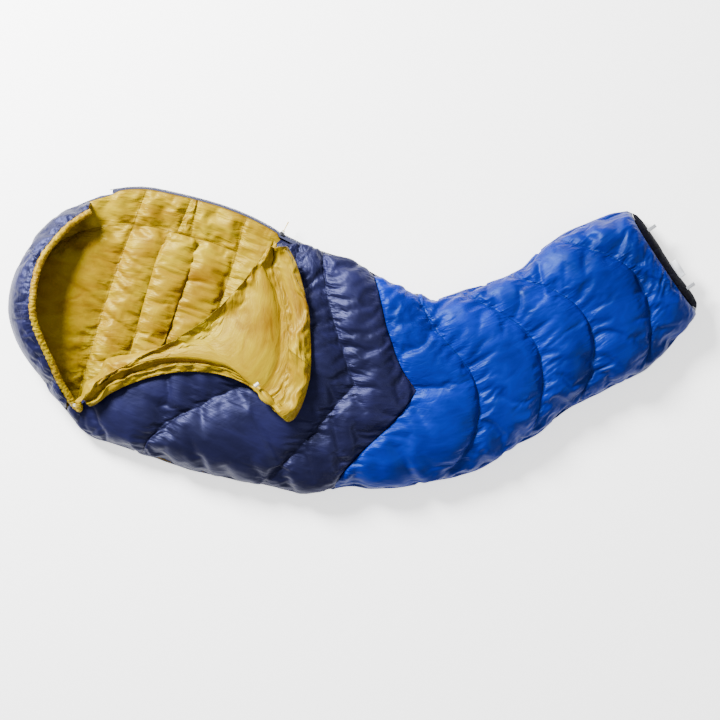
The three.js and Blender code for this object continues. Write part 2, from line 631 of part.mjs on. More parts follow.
// The middle of the hem at place t: past the wall's rim, in mid wall.
function hemPoint(t) {
  const middle = hoodLoft(1) / 2;
  const rim = hoodPoint(t, 1, middle);
  const along = hoodPoint(t + 0.01, 1, middle).sub(hoodPoint(t - 0.01, 1, middle)).normalize();
  const past = rim.clone().sub(hoodPoint(t, 0.98, middle));
  past.addScaledVector(along, -past.dot(along)).normalize();
  return rim.addScaledVector(past, HEM_RADIUS + HEM_GAP);
}

function hem() {
  const path = new THREE.CatmullRomCurve3(evenSteps(0, 1, HEM_STEPS).map(hemPoint), false, "chordal");
  add("hood_hem", rod(path, HEM_RADIUS, HEM_STEPS, 5, HEM_BORE), YELLOW_LINER);
  const start = path.getPointAt(0);
  const leaves = path.getTangentAt(0).negate();
  const ends = [1, 0.8, 0.6, 0.4, 0.2].map((t) => start.clone().addScaledVector(leaves, t * DRAWCORD_END));
  const cordPoints = [...ends, ...evenSteps(0, 1, HEM_STEPS).map((t) => path.getPointAt(t))];
  const cord = new THREE.CatmullRomCurve3(cordPoints, false, "chordal");
  add("hood_drawcord", rod(cord, DRAWCORD_RADIUS, 30, 4), DRAWCORD);
  return { start, leaves };
}

// ---------------------------------------------------------------- cord locks
// A barrel with a sprung button on top and a hole for the cord, standing on z = 0 with the cord's
// hole along x.
const BUTTON_RADIUS = LOCK_RADIUS - LOCK_WALL - LOCK_CLEARANCE;
const LOCK_CORD_HEIGHT = LOCK_HEIGHT * LOCK_HOLE_PLACE;
const BUTTON_FOOT = LOCK_WALL + BUTTON_STAND + LOCK_CLEARANCE;

function hoodCordLock(parent) {
  const round = (radius, height, z) =>
    new THREE.CylinderGeometry(radius, radius, height, 20)
      .rotateX(Math.PI / 2).translate(0, 0, z + height / 2);
  const hole = (height) =>
    new THREE.CylinderGeometry(LOCK_CORD_HOLE, LOCK_CORD_HOLE, 4 * LOCK_RADIUS, 12)
      .rotateZ(Math.PI / 2).translate(0, 0, height);
  const bore = round(LOCK_RADIUS - LOCK_WALL, LOCK_HEIGHT, LOCK_WALL);
  const body = cutBy(round(LOCK_RADIUS, LOCK_HEIGHT, 0), bore, hole(LOCK_CORD_HEIGHT));
  add("hood_cord_lock", body, LOCK_PLASTIC, parent);
  const stem = round(BUTTON_RADIUS, LOCK_HEIGHT + BUTTON_STAND - BUTTON_FOOT, BUTTON_FOOT);
  const slotMiddle = LOCK_CORD_HEIGHT + BUTTON_STAND / 2;
  const slot = block(4 * LOCK_RADIUS, 2 * LOCK_CORD_HOLE, BUTTON_STAND, 0, 0, slotMiddle);
  const cordSlot = joined(slot, hole(LOCK_CORD_HEIGHT), hole(LOCK_CORD_HEIGHT + BUTTON_STAND));
  add("hood_lock_button", cutBy(stem, cordSlot), LOCK_PLASTIC, parent);
  add("hood_lock_spring", coilSpring(), SPRING_STEEL, parent);
}

function coilSpring() {
  const steps = 12 * SPRING_TURNS;
  const low = LOCK_WALL + SPRING_WIRE + LOCK_CLEARANCE;
  const points = evenSteps(0, 1, steps).map((t) => {
    const angle = t * SPRING_TURNS * Math.PI * 2;
    const height = low + t * SPRING_TURNS * SPRING_PITCH;
    return new THREE.Vector3(SPRING_RADIUS * Math.cos(angle), SPRING_RADIUS * Math.sin(angle), height);
  });
  return rod(new THREE.CatmullRomCurve3(points), SPRING_WIRE, steps, 3);
}

// A small toggle that the collar's cord ends in, lying on the collar near the flap's corner.
function collarToggle() {
  const height = TOGGLE_RADIUS + INSET + FLAP_LOFT;
  const at = flapPlan(TOGGLE_PLACE, 0.5 + rollStart(TOGGLE_PLACE) / 2);
  const barrel = (radius, length) =>
    new THREE.CylinderGeometry(radius, radius, length, 16).rotateZ(Math.PI / 2).translate(at.x, at.y, height);
  const toggle = cutBy(barrel(TOGGLE_RADIUS, TOGGLE_LENGTH), barrel(LOCK_CORD_HOLE, 2 * TOGGLE_LENGTH));
  add("collar_toggle", toggle, LOCK_PLASTIC, flap);
}

// ---------------------------------------------------------------- the zip
const tapeInner = (s) => halfWidth(s) + ZIP_SEAM;
const coilInner = (s) => tapeInner(s) + ZIP_TAPE;
const coilOuter = (s) => coilInner(s) + COIL_WIDTH;

// A strip beside the bag's edge: from and to give its sides at each s, low and high its faces.
function edgeStrip(start, stop, steps, from, to, low, high) {
  return gridSolid(evenSteps(start, stop, steps), [0, 1], (s, y, w) =>
    bagPoint(s, y === 0 ? from(s) : to(s), w === 0 ? low : high));
}

// One tape and its coil, level -1 for the back's and +1 for the front's.
function zipHalf(name, level, start, stop) {
  const steps = Math.ceil((stop - start) / ZIP_STEP);
  const faces = (thickness) => {
    const near = EDGE_HEIGHT + level * ZIP_LAP;
    const far = near + level * thickness;
    return [Math.min(near, far), Math.max(near, far)];
  };
  const tape = edgeStrip(start, stop, steps, tapeInner, coilInner, ...faces(ZIP_TAPE_THICKNESS));
  add(`${name}_zip_tape`, tape, ZIP_CLOTH);
  const coilFrom = (s) => coilInner(s) + ZIP_LAP;
  const coilTo = (s) => coilOuter(s) + ZIP_LAP;
  const coil = edgeStrip(start, stop, steps, coilFrom, coilTo, ...faces(COIL_THICKNESS));
  add(`${name}_zip_coil`, coil, COIL_PLASTIC);
}

function zip() {
  zipHalf("back", -1, ZIP_HEAD_AT, ZIP_FOOT_AT);
  zipHalf("front", 1, SLIDER_AT, ZIP_FOOT_AT);
  const low = EDGE_HEIGHT - COIL_THICKNESS;
  const stop = (at, from, high) => edgeStrip(at - STOP_LENGTH, at - GAP, 1, from, coilOuter, low, high);
  add("zip_stop_head", stop(ZIP_HEAD_AT, coilInner, EDGE_HEIGHT), SLIDER_METAL);
  const footStop = stop(ZIP_FOOT_AT + STOP_LENGTH + GAP, tapeInner, EDGE_HEIGHT + COIL_THICKNESS);
  add("zip_stop_foot", footStop, SLIDER_METAL);
}

// The flap's half of the open zip, which lies beside its rim. Its rows fall on the flap's own, so
// that it stays clear of the rim whatever the rim's curve.
function flapZip() {
  const shares = flapZipRows.slice(1, -1).map((a) => a / CORNER_SHARE);
  const rows = [FLAP_ZIP_SPAN[0], ...shares, FLAP_ZIP_SPAN[1]];
  const strip = (from, to, thickness) =>
    gridSolid(rows, [from, to], (t, out, w) => {
      const at = flapZipEdge(t, out);
      return new THREE.Vector3(at.x, at.y, w * thickness);
    });
  add("flap_zip_tape", strip(ZIP_SEAM, ZIP_TAPE, ZIP_TAPE_THICKNESS), ZIP_CLOTH, flap);
  const coilFrom = ZIP_TAPE + GAP;
  add("flap_zip_coil", strip(coilFrom, coilFrom + COIL_WIDTH, COIL_THICKNESS), COIL_PLASTIC, flap);
}

// ---------------------------------------------------------------- the slider and its pull
// Built along x, round the middle of the closed zip's coils, then set at its place on the bag's edge.
const slider = new THREE.Group();
const CHANNEL = 2 * (ZIP_LAP + COIL_THICKNESS + SLIDER_CLEARANCE);
const SLIDER_OUT = COIL_WIDTH / 2 + SLIDER_SIDE_CLEARANCE; // from the coils' middle to the slider's wall
const BAIL_OUT = SLIDER_OUT + SLIDER_WALL + GAP + PULL_EYE + 2 * PULL_RADIUS;

function sliderBody() {
  const plateY = SLIDER_OUT + SLIDER_WALL - SLIDER_WIDTH / 2;
  const plateZ = CHANNEL / 2 + SLIDER_PLATE / 2;
  const plate = (z) => block(SLIDER_LENGTH, SLIDER_WIDTH, SLIDER_PLATE, 0, plateY, z);
  const wallHeight = CHANNEL + SLIDER_PLATE;
  const wall = block(SLIDER_LENGTH, SLIDER_WALL, wallHeight, 0, SLIDER_OUT + SLIDER_WALL / 2, 0);
  const lugLength = BAIL_OUT + BAIL_RADIUS - SLIDER_OUT - SLIDER_WALL / 2;
  const lugY = SLIDER_OUT + SLIDER_WALL / 2 + lugLength / 2;
  const lug = (x) => block(SLIDER_PLATE, lugLength, 2 * BAIL_RADIUS, x, lugY, 0);
  const bar = new THREE.CylinderGeometry(BAIL_RADIUS, BAIL_RADIUS, BAIL_LENGTH + SLIDER_PLATE, 12)
    .rotateZ(Math.PI / 2).translate(0, BAIL_OUT, 0);
  const lugs = [lug(-BAIL_LENGTH / 2), lug(BAIL_LENGTH / 2)];
  add("slider_body", joined(plate(plateZ), plate(-plateZ), wall, ...lugs, bar), SLIDER_METAL, slider);
}

// A looped cord: an eye round the slider's bar and a double tail.
function sliderPull() {
  const eyeRadius = PULL_EYE + PULL_RADIUS;
  const eye = new THREE.TorusGeometry(eyeRadius, PULL_RADIUS, 8, 16).rotateY(Math.PI / 2);
  const tail = new THREE.CylinderGeometry(PULL_RADIUS * PULL_FLARE, PULL_RADIUS, PULL_LENGTH, 10);
  tail.translate(0, eyeRadius + PULL_LENGTH / 2, 0);
  const pull = joined(eye, tail);
  pull.translate(0, BAIL_OUT, 0);
  add("slider_pull", pull, PULL_CORD, slider);
}

// The slider lies along the coils, which follow the bag's edge and not its centreline.
function placeSlider() {
  const onCoils = (s) => bagPoint(s, coilInner(s) + ZIP_LAP + COIL_WIDTH / 2, EDGE_HEIGHT);
  const along = onCoils(SLIDER_AT + SLIDER_LENGTH / 2).sub(onCoils(SLIDER_AT - SLIDER_LENGTH / 2));
  slider.position.copy(onCoils(SLIDER_AT));
  slider.rotation.z = Math.atan2(along.y, along.x);
  bag.add(slider);
}

// ---------------------------------------------------------------- the foot end
function footPanel() {
  const heights = evenSteps(-1, 1, 6);
  const reach = halfWidth(BAG_LENGTH);
  const panel = gridSolid(CHAMBER_COLUMNS, heights, (v, h, w) => {
    const top = topSide(BAG_LENGTH, v, 0, INSET) - GAP;
    const bottom = underSide(v, INSET) + GAP;
    const z = mix(bottom, top, (h + 1) / 2);
    return bagPoint(BAG_LENGTH, v * reach, z).addScaledVector(bagAxes(BAG_LENGTH).along, w * FABRIC);
  });
  add("foot_end_panel", panel, END_CLOTH);
}

// A flat trim on the foot panel's outer face, made with x away from the panel, y across and z up.
function onFootPanel(geometry, side) {
  const { along } = bagAxes(BAG_LENGTH);
  geometry.rotateZ(Math.atan2(along.y, along.x));
  const at = bagPoint(BAG_LENGTH, side * halfWidth(BAG_LENGTH), TRIM_HEIGHT);
  at.addScaledVector(along, FABRIC + GAP);
  return geometry.translate(at.x, at.y, at.z);
}

// Webbing folded back on itself, open at both sides.
function hangLoop(name, side) {
  const height = LOOP_SLOT + 2 * WEBBING_THICKNESS;
  const outer = block(LOOP_REACH, LOOP_WIDTH, height, LOOP_REACH / 2, 0, 0);
  const inside = LOOP_REACH - 2 * WEBBING_THICKNESS;
  const slot = block(inside, 2 * LOOP_WIDTH, LOOP_SLOT, LOOP_REACH / 2, 0, 0);
  add(name, onFootPanel(cutBy(outer, slot), side), WEBBING);
}

function footEndTrim() {
  hangLoop("hang_loop_zip_side", LOOP_SIDE);
  hangLoop("hang_loop_closed_side", -LOOP_SIDE);
  const label = block(LABEL_REACH, LABEL_WIDTH, LABEL_THICKNESS, LABEL_REACH / 2, 0, 0);
  add("care_label", onFootPanel(label, -LABEL_SIDE), LABEL_CLOTH);
}

// ---------------------------------------------------------------- assembly
underLayer();
topLayer();
backCollar();
hood();
const cordEnd = hem();
const hoodLock = new THREE.Group();
hoodLock.quaternion.setFromUnitVectors(new THREE.Vector3(1, 0, 0), cordEnd.leaves);
const lockUp = new THREE.Vector3(0, 0, 1).applyQuaternion(hoodLock.quaternion);
hoodLock.position.copy(cordEnd.start).addScaledVector(cordEnd.leaves, DRAWCORD_END * LOCK_PLACE);
hoodLock.position.addScaledVector(lockUp, -LOCK_CORD_HEIGHT);
hoodCordLock(hoodLock);
bag.add(hoodLock);

flapLayers();
collarToggle();
flapZip();
bag.add(flap);

zip();
sliderBody();
sliderPull();
placeSlider();
footPanel();
footEndTrim();

// The origin goes under the middle of the bag.
const middle = new THREE.Box3().setFromObject(bag, true).getCenter(new THREE.Vector3());
bag.position.set(-middle.x, -middle.y, 0);

export default bag;
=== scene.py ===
"""A down-filled mummy sleeping bag on a pale floor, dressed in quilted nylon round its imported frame.

Metres, +Z up. The bag lies on its back with its head end towards -X and its zip on the +Y side. The
front panel is unzipped and folded back over the chest. Most pieces are laid out in bag coordinates: s is
the distance from the head end along the curved centreline, v runs from -1 at the closed side to +1 at the
zipped side, and z is the height above the floor.
"""
import sys
import json
import logging
import math
from dataclasses import dataclass, field
from enum import Enum
from typing import Callable, List, Optional, Sequence, Tuple

import bmesh
import bpy
import numpy as np
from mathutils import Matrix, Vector, noise


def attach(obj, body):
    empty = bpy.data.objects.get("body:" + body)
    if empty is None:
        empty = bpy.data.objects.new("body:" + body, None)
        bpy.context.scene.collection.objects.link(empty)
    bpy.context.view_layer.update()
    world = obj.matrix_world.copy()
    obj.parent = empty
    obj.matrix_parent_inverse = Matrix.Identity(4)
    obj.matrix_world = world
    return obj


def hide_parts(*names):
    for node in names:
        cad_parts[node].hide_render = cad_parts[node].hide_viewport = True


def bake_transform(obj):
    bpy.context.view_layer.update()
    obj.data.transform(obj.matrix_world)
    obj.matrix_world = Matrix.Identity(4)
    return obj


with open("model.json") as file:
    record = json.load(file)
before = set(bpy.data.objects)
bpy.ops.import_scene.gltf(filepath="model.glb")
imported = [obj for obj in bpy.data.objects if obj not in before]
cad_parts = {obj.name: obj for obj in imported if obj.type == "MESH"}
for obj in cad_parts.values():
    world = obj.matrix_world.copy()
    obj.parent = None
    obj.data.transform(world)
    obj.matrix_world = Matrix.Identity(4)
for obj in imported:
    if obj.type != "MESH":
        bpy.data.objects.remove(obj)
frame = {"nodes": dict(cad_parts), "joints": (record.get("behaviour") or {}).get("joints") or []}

LOG = logging.getLogger("sleeping_bag")
Array = np.ndarray
TUBE_SEAM_GAP = 0.012  # how far from a seam the whole of a tube's cloth counts as being


def smooth(t: Array) -> Array:
    """Returns a smooth step for t from 0 to 1."""
    t = np.clip(t, 0.0, 1.0)
    return t * t * (3 - 2 * t)


def super_round(x: Array, power: float) -> Array:
    """Returns the height of a superellipse of that power over x from -1 to 1."""
    return np.power(np.maximum(0.0, 1 - np.power(np.abs(x), power)), 1 / power)


def unit(vectors: Array) -> Array:
    """Returns the vectors with length one."""
    length = np.linalg.norm(vectors, axis=-1, keepdims=True)
    return vectors / np.maximum(length, 1e-9)


class Body(Enum):
    """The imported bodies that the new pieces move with."""

    BAG = "bag"
    FLAP = "flap"


class Slot(Enum):
    """The record's material slots that the new pieces take their finish from."""

    NAVY_SHELL = "navy_shell"
    BLUE_SHELL = "blue_shell"
    YELLOW_LINER = "yellow_liner"
    END_CLOTH = "end_cloth"
    DRAWCORD = "drawcord"
    WEBBING = "webbing"
    LABEL_CLOTH = "label_cloth"


# ---------------------------------------------------------------- the bag's plan
@dataclass
class BagPlan:
    """The bag's lie on the floor, its cut and its heights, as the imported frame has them."""

    length: float = 1.990
    head_round: float = 0.330
    head_power: float = 1.75
    foot_round: float = 0.060
    foot_depth: float = 0.14
    edge_height: float = 0.036
    torso_height: float = 0.132
    leg_height: float = 0.122
    fold_height: float = 0.096
    fold_ramp: float = 0.330
    fold_clearance: float = 0.002
    fold_zip: Tuple[float, float] = (0.655, 0.96)
    fold_hood: Tuple[float, float] = (0.212, -0.83)
    flap_tilt: float = 8.5
    bow_shares: Tuple[float, ...] = (0.0, 0.08, 0.2, 0.32, 0.44, 0.56, 0.68, 0.8, 1.0)
    bow_depths: Tuple[float, ...] = (0.0, 0.016, 0.038, 0.050, 0.050, 0.038, 0.016, 0.002, 0.0)
    torso_seam_at: float = 1.004
    chevron_at: float = 1.182
    chevron_sweep: float = 0.182
    leg_seams_at: Tuple[float, ...] = (1.345, 1.545, 1.705, 1.890)
    leg_bow: float = 0.120
    top_power: float = 2.6
    under_power: float = 5.0
    lie: Tuple[Tuple[float, float], ...] = (
        (-0.966, 0.078), (-0.860, 0.086), (-0.760, 0.084), (-0.640, 0.066), (-0.480, 0.022), (-0.330, -0.040),
        (-0.170, -0.088), (0.0, -0.124), (0.150, -0.146), (0.262, -0.134), (0.382, -0.086), (0.500, -0.026),
        (0.600, 0.028), (0.700, 0.092), (0.790, 0.154), (0.898, 0.226),
    )
    cut: Tuple[Tuple[float, float], ...] = (
        (0.0, 0.700), (0.330, 0.720), (0.500, 0.728), (0.900, 0.664), (1.080, 0.566), (1.220, 0.516),
        (1.400, 0.462), (1.580, 0.408), (1.780, 0.446), (1.990, 0.372),
    )
    shift: Array = field(default_factory=lambda: np.zeros(3))

    def __post_init__(self) -> None:
        """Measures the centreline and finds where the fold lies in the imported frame."""
        self._measure_centreline()
        hinge = next(j for j in frame["joints"] if j["name"] == "flap_fold")
        start = self._fold_end(self.fold_zip)
        self.shift = np.array(hinge["pos_m"]) - start
        self.shift[2] = 0.0
        self.fold_start = self._fold_end(self.fold_zip)
        self.fold_stop = self._fold_end(self.fold_hood)
        self.fold_length = float(np.linalg.norm(self.fold_stop - self.fold_start))
        self.fold_along = (self.fold_stop - self.fold_start) / self.fold_length
        self.fold_away = np.array([-self.fold_along[1], self.fold_along[0], 0.0])

    def _curve(self, points: Array, per_span: int) -> Array:
        """Returns points along a chordal Catmull-Rom curve through the given ones."""
        first = 2 * points[0] - points[1]
        last = 2 * points[-1] - points[-2]
        all_points = np.vstack([first, points, last])
        made: List[Array] = []
        for i in range(len(points) - 1):
            p0, p1, p2, p3 = all_points[i:i + 4]
            d0, d1, d2 = (float(np.linalg.norm(b - a)) for a, b in ((p0, p1), (p1, p2), (p2, p3)))
            m1 = ((p1 - p0) / d0 - (p2 - p0) / (d0 + d1) + (p2 - p1) / d1) * d1
            m2 = ((p2 - p1) / d1 - (p3 - p1) / (d1 + d2) + (p3 - p2) / d2) * d1
            t = np.linspace(0, 1, per_span, endpoint=i == len(points) - 2)[:, None]
            made.append(p1 + m1 * t + (3 * (p2 - p1) - 2 * m1 - m2) * t**2 + (2 * (p1 - p2) + m1 + m2) * t**3)
        return np.vstack(made)

    def _measure_centreline(self) -> None:
        """Keeps the centreline's points, its distances and its directions."""
        line = self._curve(np.array(self.lie), 200)
        steps = np.linalg.norm(np.diff(line, axis=0), axis=1)
        scale = self.length / float(steps.sum())
        self.line = line * scale
        self.line_at = np.concatenate([[0.0], np.cumsum(steps) * scale])
        self.line_along = unit(np.gradient(self.line, self.line_at, axis=0))

    def cut_half_width(self, s: Array) -> Array:
        """Returns the cut's half width at s, without the rounding of its two ends."""
        at = np.array([c[0] for c in self.cut])
        width = np.array([c[1] for c in self.cut])
        i = np.clip(np.searchsorted(at, s, side="left"), 1, len(at) - 1)
        t = smooth((s - at[i - 1]) / (at[i] - at[i - 1]))
        return (width[i - 1] + (width[i] - width[i - 1]) * t) / 2

    def half_width(self, s: Array) -> Array:
        """Returns the bag's half width at s."""
        s = np.asarray(s, float)
        head = np.where(s < self.head_round, super_round(1 - s / self.head_round, self.head_power), 1.0)
        to_foot = np.maximum(0.0, self.length - s)
        corner = 1 - self.foot_depth * (1 - super_round(1 - to_foot / self.foot_round, 2))
        foot = np.where(to_foot < self.foot_round, corner, 1.0)
        return self.cut_half_width(np.minimum(s, self.length)) * head * foot

    def axes(self, s: Array) -> Tuple[Array, Array]:
        """Returns the directions along the bag and across it at s."""
        s = np.clip(np.asarray(s, float), 0, self.length)
        along = np.stack([np.interp(s, self.line_at, self.line_along[:, i]) for i in (0, 1)], axis=-1)
        along = unit(along)
        zero = np.zeros(along.shape[:-1])
        return (
            np.stack([along[..., 0], along[..., 1], zero], axis=-1),
            np.stack([-along[..., 1], along[..., 0], zero], axis=-1),
        )

    def point(self, s: Array, y: Array, z: Array) -> Array:
        """Returns the point at s along the bag, y towards the zipped side and z above the floor."""
        s, y, z = np.broadcast_arrays(np.asarray(s, float), np.asarray(y, float), np.asarray(z, float))
        at = np.clip(s, 0, self.length)
        base = np.stack([np.interp(at, self.line_at, self.line[:, i]) for i in (0, 1)], axis=-1)
        along, across = self.axes(s)
        flat = np.concatenate([base, np.zeros(base.shape[:-1] + (1,))], axis=-1)
        flat = flat + across * y[..., None] + along * (s - at)[..., None]
        flat[..., 2] = z
        return flat + self.shift

    def _fold_end(self, place: Tuple[float, float]) -> Array:
        """Returns one end of the fold's axis."""
        s, v = place
        return self.point(s, v * self.half_width(s), self.fold_height + self.fold_clearance)

    def behind_fold(self, s: Array, v: Array) -> Array:
        """Returns how far a place on the bag lies behind the fold."""
        at = self.point(s, v * self.half_width(s), self.fold_height)
        return (at - self.fold_start) @ self.fold_away

    def fold_bow(self, share: Array) -> Array:
        """Returns how far the soft fold sags back from its straight axis, at a share of its length."""
        return np.interp(share, self.bow_shares, self.bow_depths)

    def behind_soft_fold(self, s: Array, v: Array) -> Array:
        """Returns how far a place on the bag lies behind the sagging fold."""
        at = self.point(s, v * self.half_width(s), self.fold_height) - self.fold_start
        return at @ self.fold_away - self.fold_bow(at @ self.fold_along / self.fold_length)

    def fold_edge(self, v: Array, setback: float) -> Array:
        """Returns where the top layer begins along the bag, that far behind the fold."""
        v = np.asarray(v, float)
        low, high = np.zeros_like(v), np.full_like(v, self.torso_seam_at)
        for _ in range(26):
            middle = (low + high) / 2
            before = self.behind_soft_fold(middle, v) < setback
            low = np.where(before, middle, low)
            high = np.where(before, high, middle)
        return low

    def top_height(self, s: Array, v: Array) -> Array:
        """Returns the height of the top layer's crown at that place."""
        rise = smooth((s - self.torso_seam_at) / (self.chevron_at - self.torso_seam_at))
        full = self.torso_height + (self.leg_height - self.torso_height) * rise
        near = smooth(self.behind_fold(s, v) / self.fold_ramp)
        return self.fold_height + (full - self.fold_height) * near

    def flap_axes(self) -> Tuple[Array, Array, Array]:
        """Returns the flap's own directions: along the fold, away from it, and up off its plane."""
        tilt = math.radians(self.flap_tilt)
        up = np.array([0.0, 0.0, 1.0])
        away = self.fold_away * math.cos(tilt) + up * math.sin(tilt)
        return self.fold_along, away, up * math.cos(tilt) - self.fold_away * math.sin(tilt)


PLAN = BagPlan()


# ---------------------------------------------------------------- finishes
class Nodes:
    """Builds one material's node tree."""

    def __init__(self, name: str) -> None:
        """Starts a material of that name with its shader."""
        self.material = bpy.data.materials.new(name)
        self.material.use_nodes = True
        self.tree = self.material.node_tree
        self.shader = self.tree.nodes["Principled BSDF"]

    def add(self, kind: str, **settings: object) -> bpy.types.Node:
        """Returns a new node of that kind.

        Args:
            kind: The node's type.
            settings: Its properties, or its inputs where the name is an input's with _ for a space.

        Returns:
            The node.
        """
        node = self.tree.nodes.new(kind)
        for name, value in settings.items():
            if hasattr(node, name):
                setattr(node, name, value)
            else:
                node.inputs[name.replace("_", " ")].default_value = value
        return node

    def link(self, source: bpy.types.NodeSocket, target: bpy.types.NodeSocket) -> None:
        """Links one socket to another."""
        self.tree.links.new(source, target)

    def coordinates(self, use_uv: bool, scale: Sequence[float], angle: float = 0.0) -> bpy.types.NodeSocket:
        """Returns mapped coordinates, from the piece's own UV map or in its own space."""
        where = self.add("ShaderNodeTexCoord")
        mapping = self.add("ShaderNodeMapping")
        mapping.inputs["Scale"].default_value = scale
        mapping.inputs["Rotation"].default_value = (0, 0, angle)
        self.link(where.outputs["UV" if use_uv else "Object"], mapping.inputs["Vector"])
        return mapping.outputs["Vector"]

    def noise(self, vector: bpy.types.NodeSocket, scale: float, detail: float = 3.0,
              distortion: float = 0.0) -> bpy.types.NodeSocket:
        """Returns the value of a noise texture over those coordinates."""
        node = self.add("ShaderNodeTexNoise", Scale=scale, Detail=detail, Distortion=distortion)
        self.link(vector, node.inputs["Vector"])
        return node.outputs["Fac"]

    def math(self, operation: str, a: object, b: object = 0.0) -> bpy.types.NodeSocket:
        """Returns the result of one sum on sockets or numbers."""
        node = self.add("ShaderNodeMath", operation=operation)
        for socket, value in zip(node.inputs, (a, b)):
            if isinstance(value, (int, float)):
                socket.default_value = value
            else:
                self.link(value, socket)
        return node.outputs[0]

    def ramp(
        self, factor: bpy.types.NodeSocket, stops: Sequence[Tuple[float, Sequence[float]]]
    ) -> bpy.types.NodeSocket:
        """Returns the colour of a ramp with those stops."""
        node = self.add("ShaderNodeValToRGB")
        elements = node.color_ramp.elements
        while len(elements) < len(stops):
            elements.new(0.5)
        for element, (place, color) in zip(elements, stops):
            element.position = place
            element.color = (*color[:3], 1.0)
        self.link(factor, node.inputs["Fac"])
        return node.outputs["Color"]

    def bump(self, height: bpy.types.NodeSocket, distance: float, strength: float,
             under: Optional[bpy.types.NodeSocket] = None) -> bpy.types.NodeSocket:
        """Returns a normal bent by that height, on top of another bent normal if given."""
        node = self.add("ShaderNodeBump", Distance=distance, Strength=strength)
        self.link(height, node.inputs["Height"])
        if under is not None:
            self.link(under, node.inputs["Normal"])
        return node.outputs["Normal"]


def linear(red: int, green: int, blue: int) -> Tuple[float, float, float]:
    """Returns a colour given in display values of 0 to 255 as linear light."""
    shares = (red / 255, green / 255, blue / 255)
    return tuple(c / 12.92 if c <= 0.04045 else ((c + 0.055) / 1.055) ** 2.4 for c in shares)


@dataclass(frozen=True)
class QuiltNylon:
    """A thin, calendered nylon with a fine ripstop, drawn up along its quilting."""

    name: str
    body: Tuple[float, float, float]
    # shade and light are the painted shade of the crease troughs and the painted highlight of their ridges,
    # mixed with random cloudy tone
    shade: Tuple[float, float, float]
    light: Tuple[float, float, float]
    roughness: float = 0.36
    sheen: float = 0.25
    specular: float = 0.4
    sheen_tint: Tuple[float, float, float] = (0.6, 0.7, 1.0)
    crinkle: float = 0.0022
    fold: float = 0.006

    def make(self) -> bpy.types.Material:
        """Returns the material, which reads the piece's UV map in metres and its seam distance."""
        n = Nodes(self.name)
        across = n.coordinates(True, (1.0, 0.24, 1.0))
        slanted = n.coordinates(True, (1.0, 0.45, 1.0), 0.6)
        other_way = n.coordinates(True, (0.5, 1.0, 1.0), -0.45)
        plain = n.coordinates(False, (1.0, 1.0, 1.0))
        seam = n.add("ShaderNodeAttribute", attribute_name="seam_gap")
        near = n.math("POWER", 2.718, n.math("MULTIPLY", seam.outputs["Fac"], -34.0))
        puckers = n.noise(across, 70.0, 3.0, 0.8)
        creases = n.noise(slanted, 20.0, 4.0, 1.2)
        long_folds = n.noise(other_way, 10.0, 3.0, 1.0)
        clouds = n.noise(plain, 6.0, 3.0)
        # Painted shade and painted highlight: the crease noise that bends the normal also darkens the crease
        # troughs and lightens their ridges, and the cloud noise adds tone that differs at random
        tone = n.math("ADD", n.math("MULTIPLY", creases, 0.45), n.math("MULTIPLY", clouds, 0.55))
        color = n.ramp(tone, [(0.36, self.shade), (0.5, self.body), (0.64, self.light)])
        stitched = n.add("ShaderNodeMix", data_type="RGBA")
        line = n.math("GREATER_THAN", 0.0016, seam.outputs["Fac"])
        n.link(n.math("MULTIPLY", line, 0.55), stitched.inputs["Factor"])
        n.link(color, stitched.inputs[6])
        stitched.inputs[7].default_value = (*(c * 0.35 for c in self.shade), 1.0)
        n.link(stitched.outputs[2], n.shader.inputs["Base Color"])
        gloss = n.math("ADD", self.roughness - 0.06, n.math("MULTIPLY", creases, 0.12))
        n.link(gloss, n.shader.inputs["Roughness"])
        weave = n.add("ShaderNodeTexWave", wave_type="BANDS", bands_direction="X", Scale=190.0)
        weft = n.add("ShaderNodeTexWave", wave_type="BANDS", bands_direction="Y", Scale=190.0)
        grid = n.coordinates(True, (1.0, 1.0, 1.0))
        n.link(grid, weave.inputs["Vector"])
        n.link(grid, weft.inputs["Vector"])
        cells = n.math("MAXIMUM", weave.outputs["Fac"], weft.outputs["Fac"])
        normal = n.bump(cells, 0.0001, 0.35)
        patches = n.math("MULTIPLY", n.noise(plain, 13.0, 2.0), 1.6)
        strength = n.math("MULTIPLY", n.math("MULTIPLY", n.math("ADD", near, 0.08), patches), puckers)
        normal = n.bump(strength, self.crinkle * 4, 0.85, normal)
        normal = n.bump(creases, self.crinkle * 1.3, 0.6, normal)
        normal = n.bump(long_folds, self.fold, 0.5, normal)
        n.link(normal, n.shader.inputs["Normal"])
        n.shader.inputs["Sheen Weight"].default_value = self.sheen
        n.shader.inputs["Sheen Roughness"].default_value = 0.4
        n.shader.inputs["Sheen Tint"].default_value = (*self.sheen_tint, 1.0)
        n.shader.inputs["Specular IOR Level"].default_value = self.specular
        n.shader.inputs["Specular Tint"].default_value = (*self.sheen_tint, 1.0)
        return n.material


@dataclass(frozen=True)
class WovenTape:
    """A narrow woven tape, webbing or cord."""

    name: str
    body: Tuple[float, float, float]
    light: Tuple[float, float, float]
    rib: float = 900.0
    depth: float = 0.0004
    roughness: float = 0.75

    def make(self) -> bpy.types.Material:
        """Returns the material, which reads the piece's own space."""
        n = Nodes(self.name)
        plain = n.coordinates(False, (1.0, 1.0, 1.0))
        ribs = n.add(
            "ShaderNodeTexWave", wave_type="BANDS", bands_direction="DIAGONAL", Scale=self.rib / 6.28)
        n.link(plain, ribs.inputs["Vector"])
        speckle = n.noise(plain, 420.0, 2.0)
        tone = n.math("ADD", n.math("MULTIPLY", ribs.outputs["Fac"], 0.6), n.math("MULTIPLY", speckle, 0.4))
        n.link(n.ramp(tone, [(0.2, self.body), (0.8, self.light)]), n.shader.inputs["Base Color"])
        n.link(n.bump(tone, self.depth, 0.6), n.shader.inputs["Normal"])
        n.shader.inputs["Roughness"].default_value = self.roughness
        n.shader.inputs["Sheen Weight"].default_value = 0.2
        return n.material


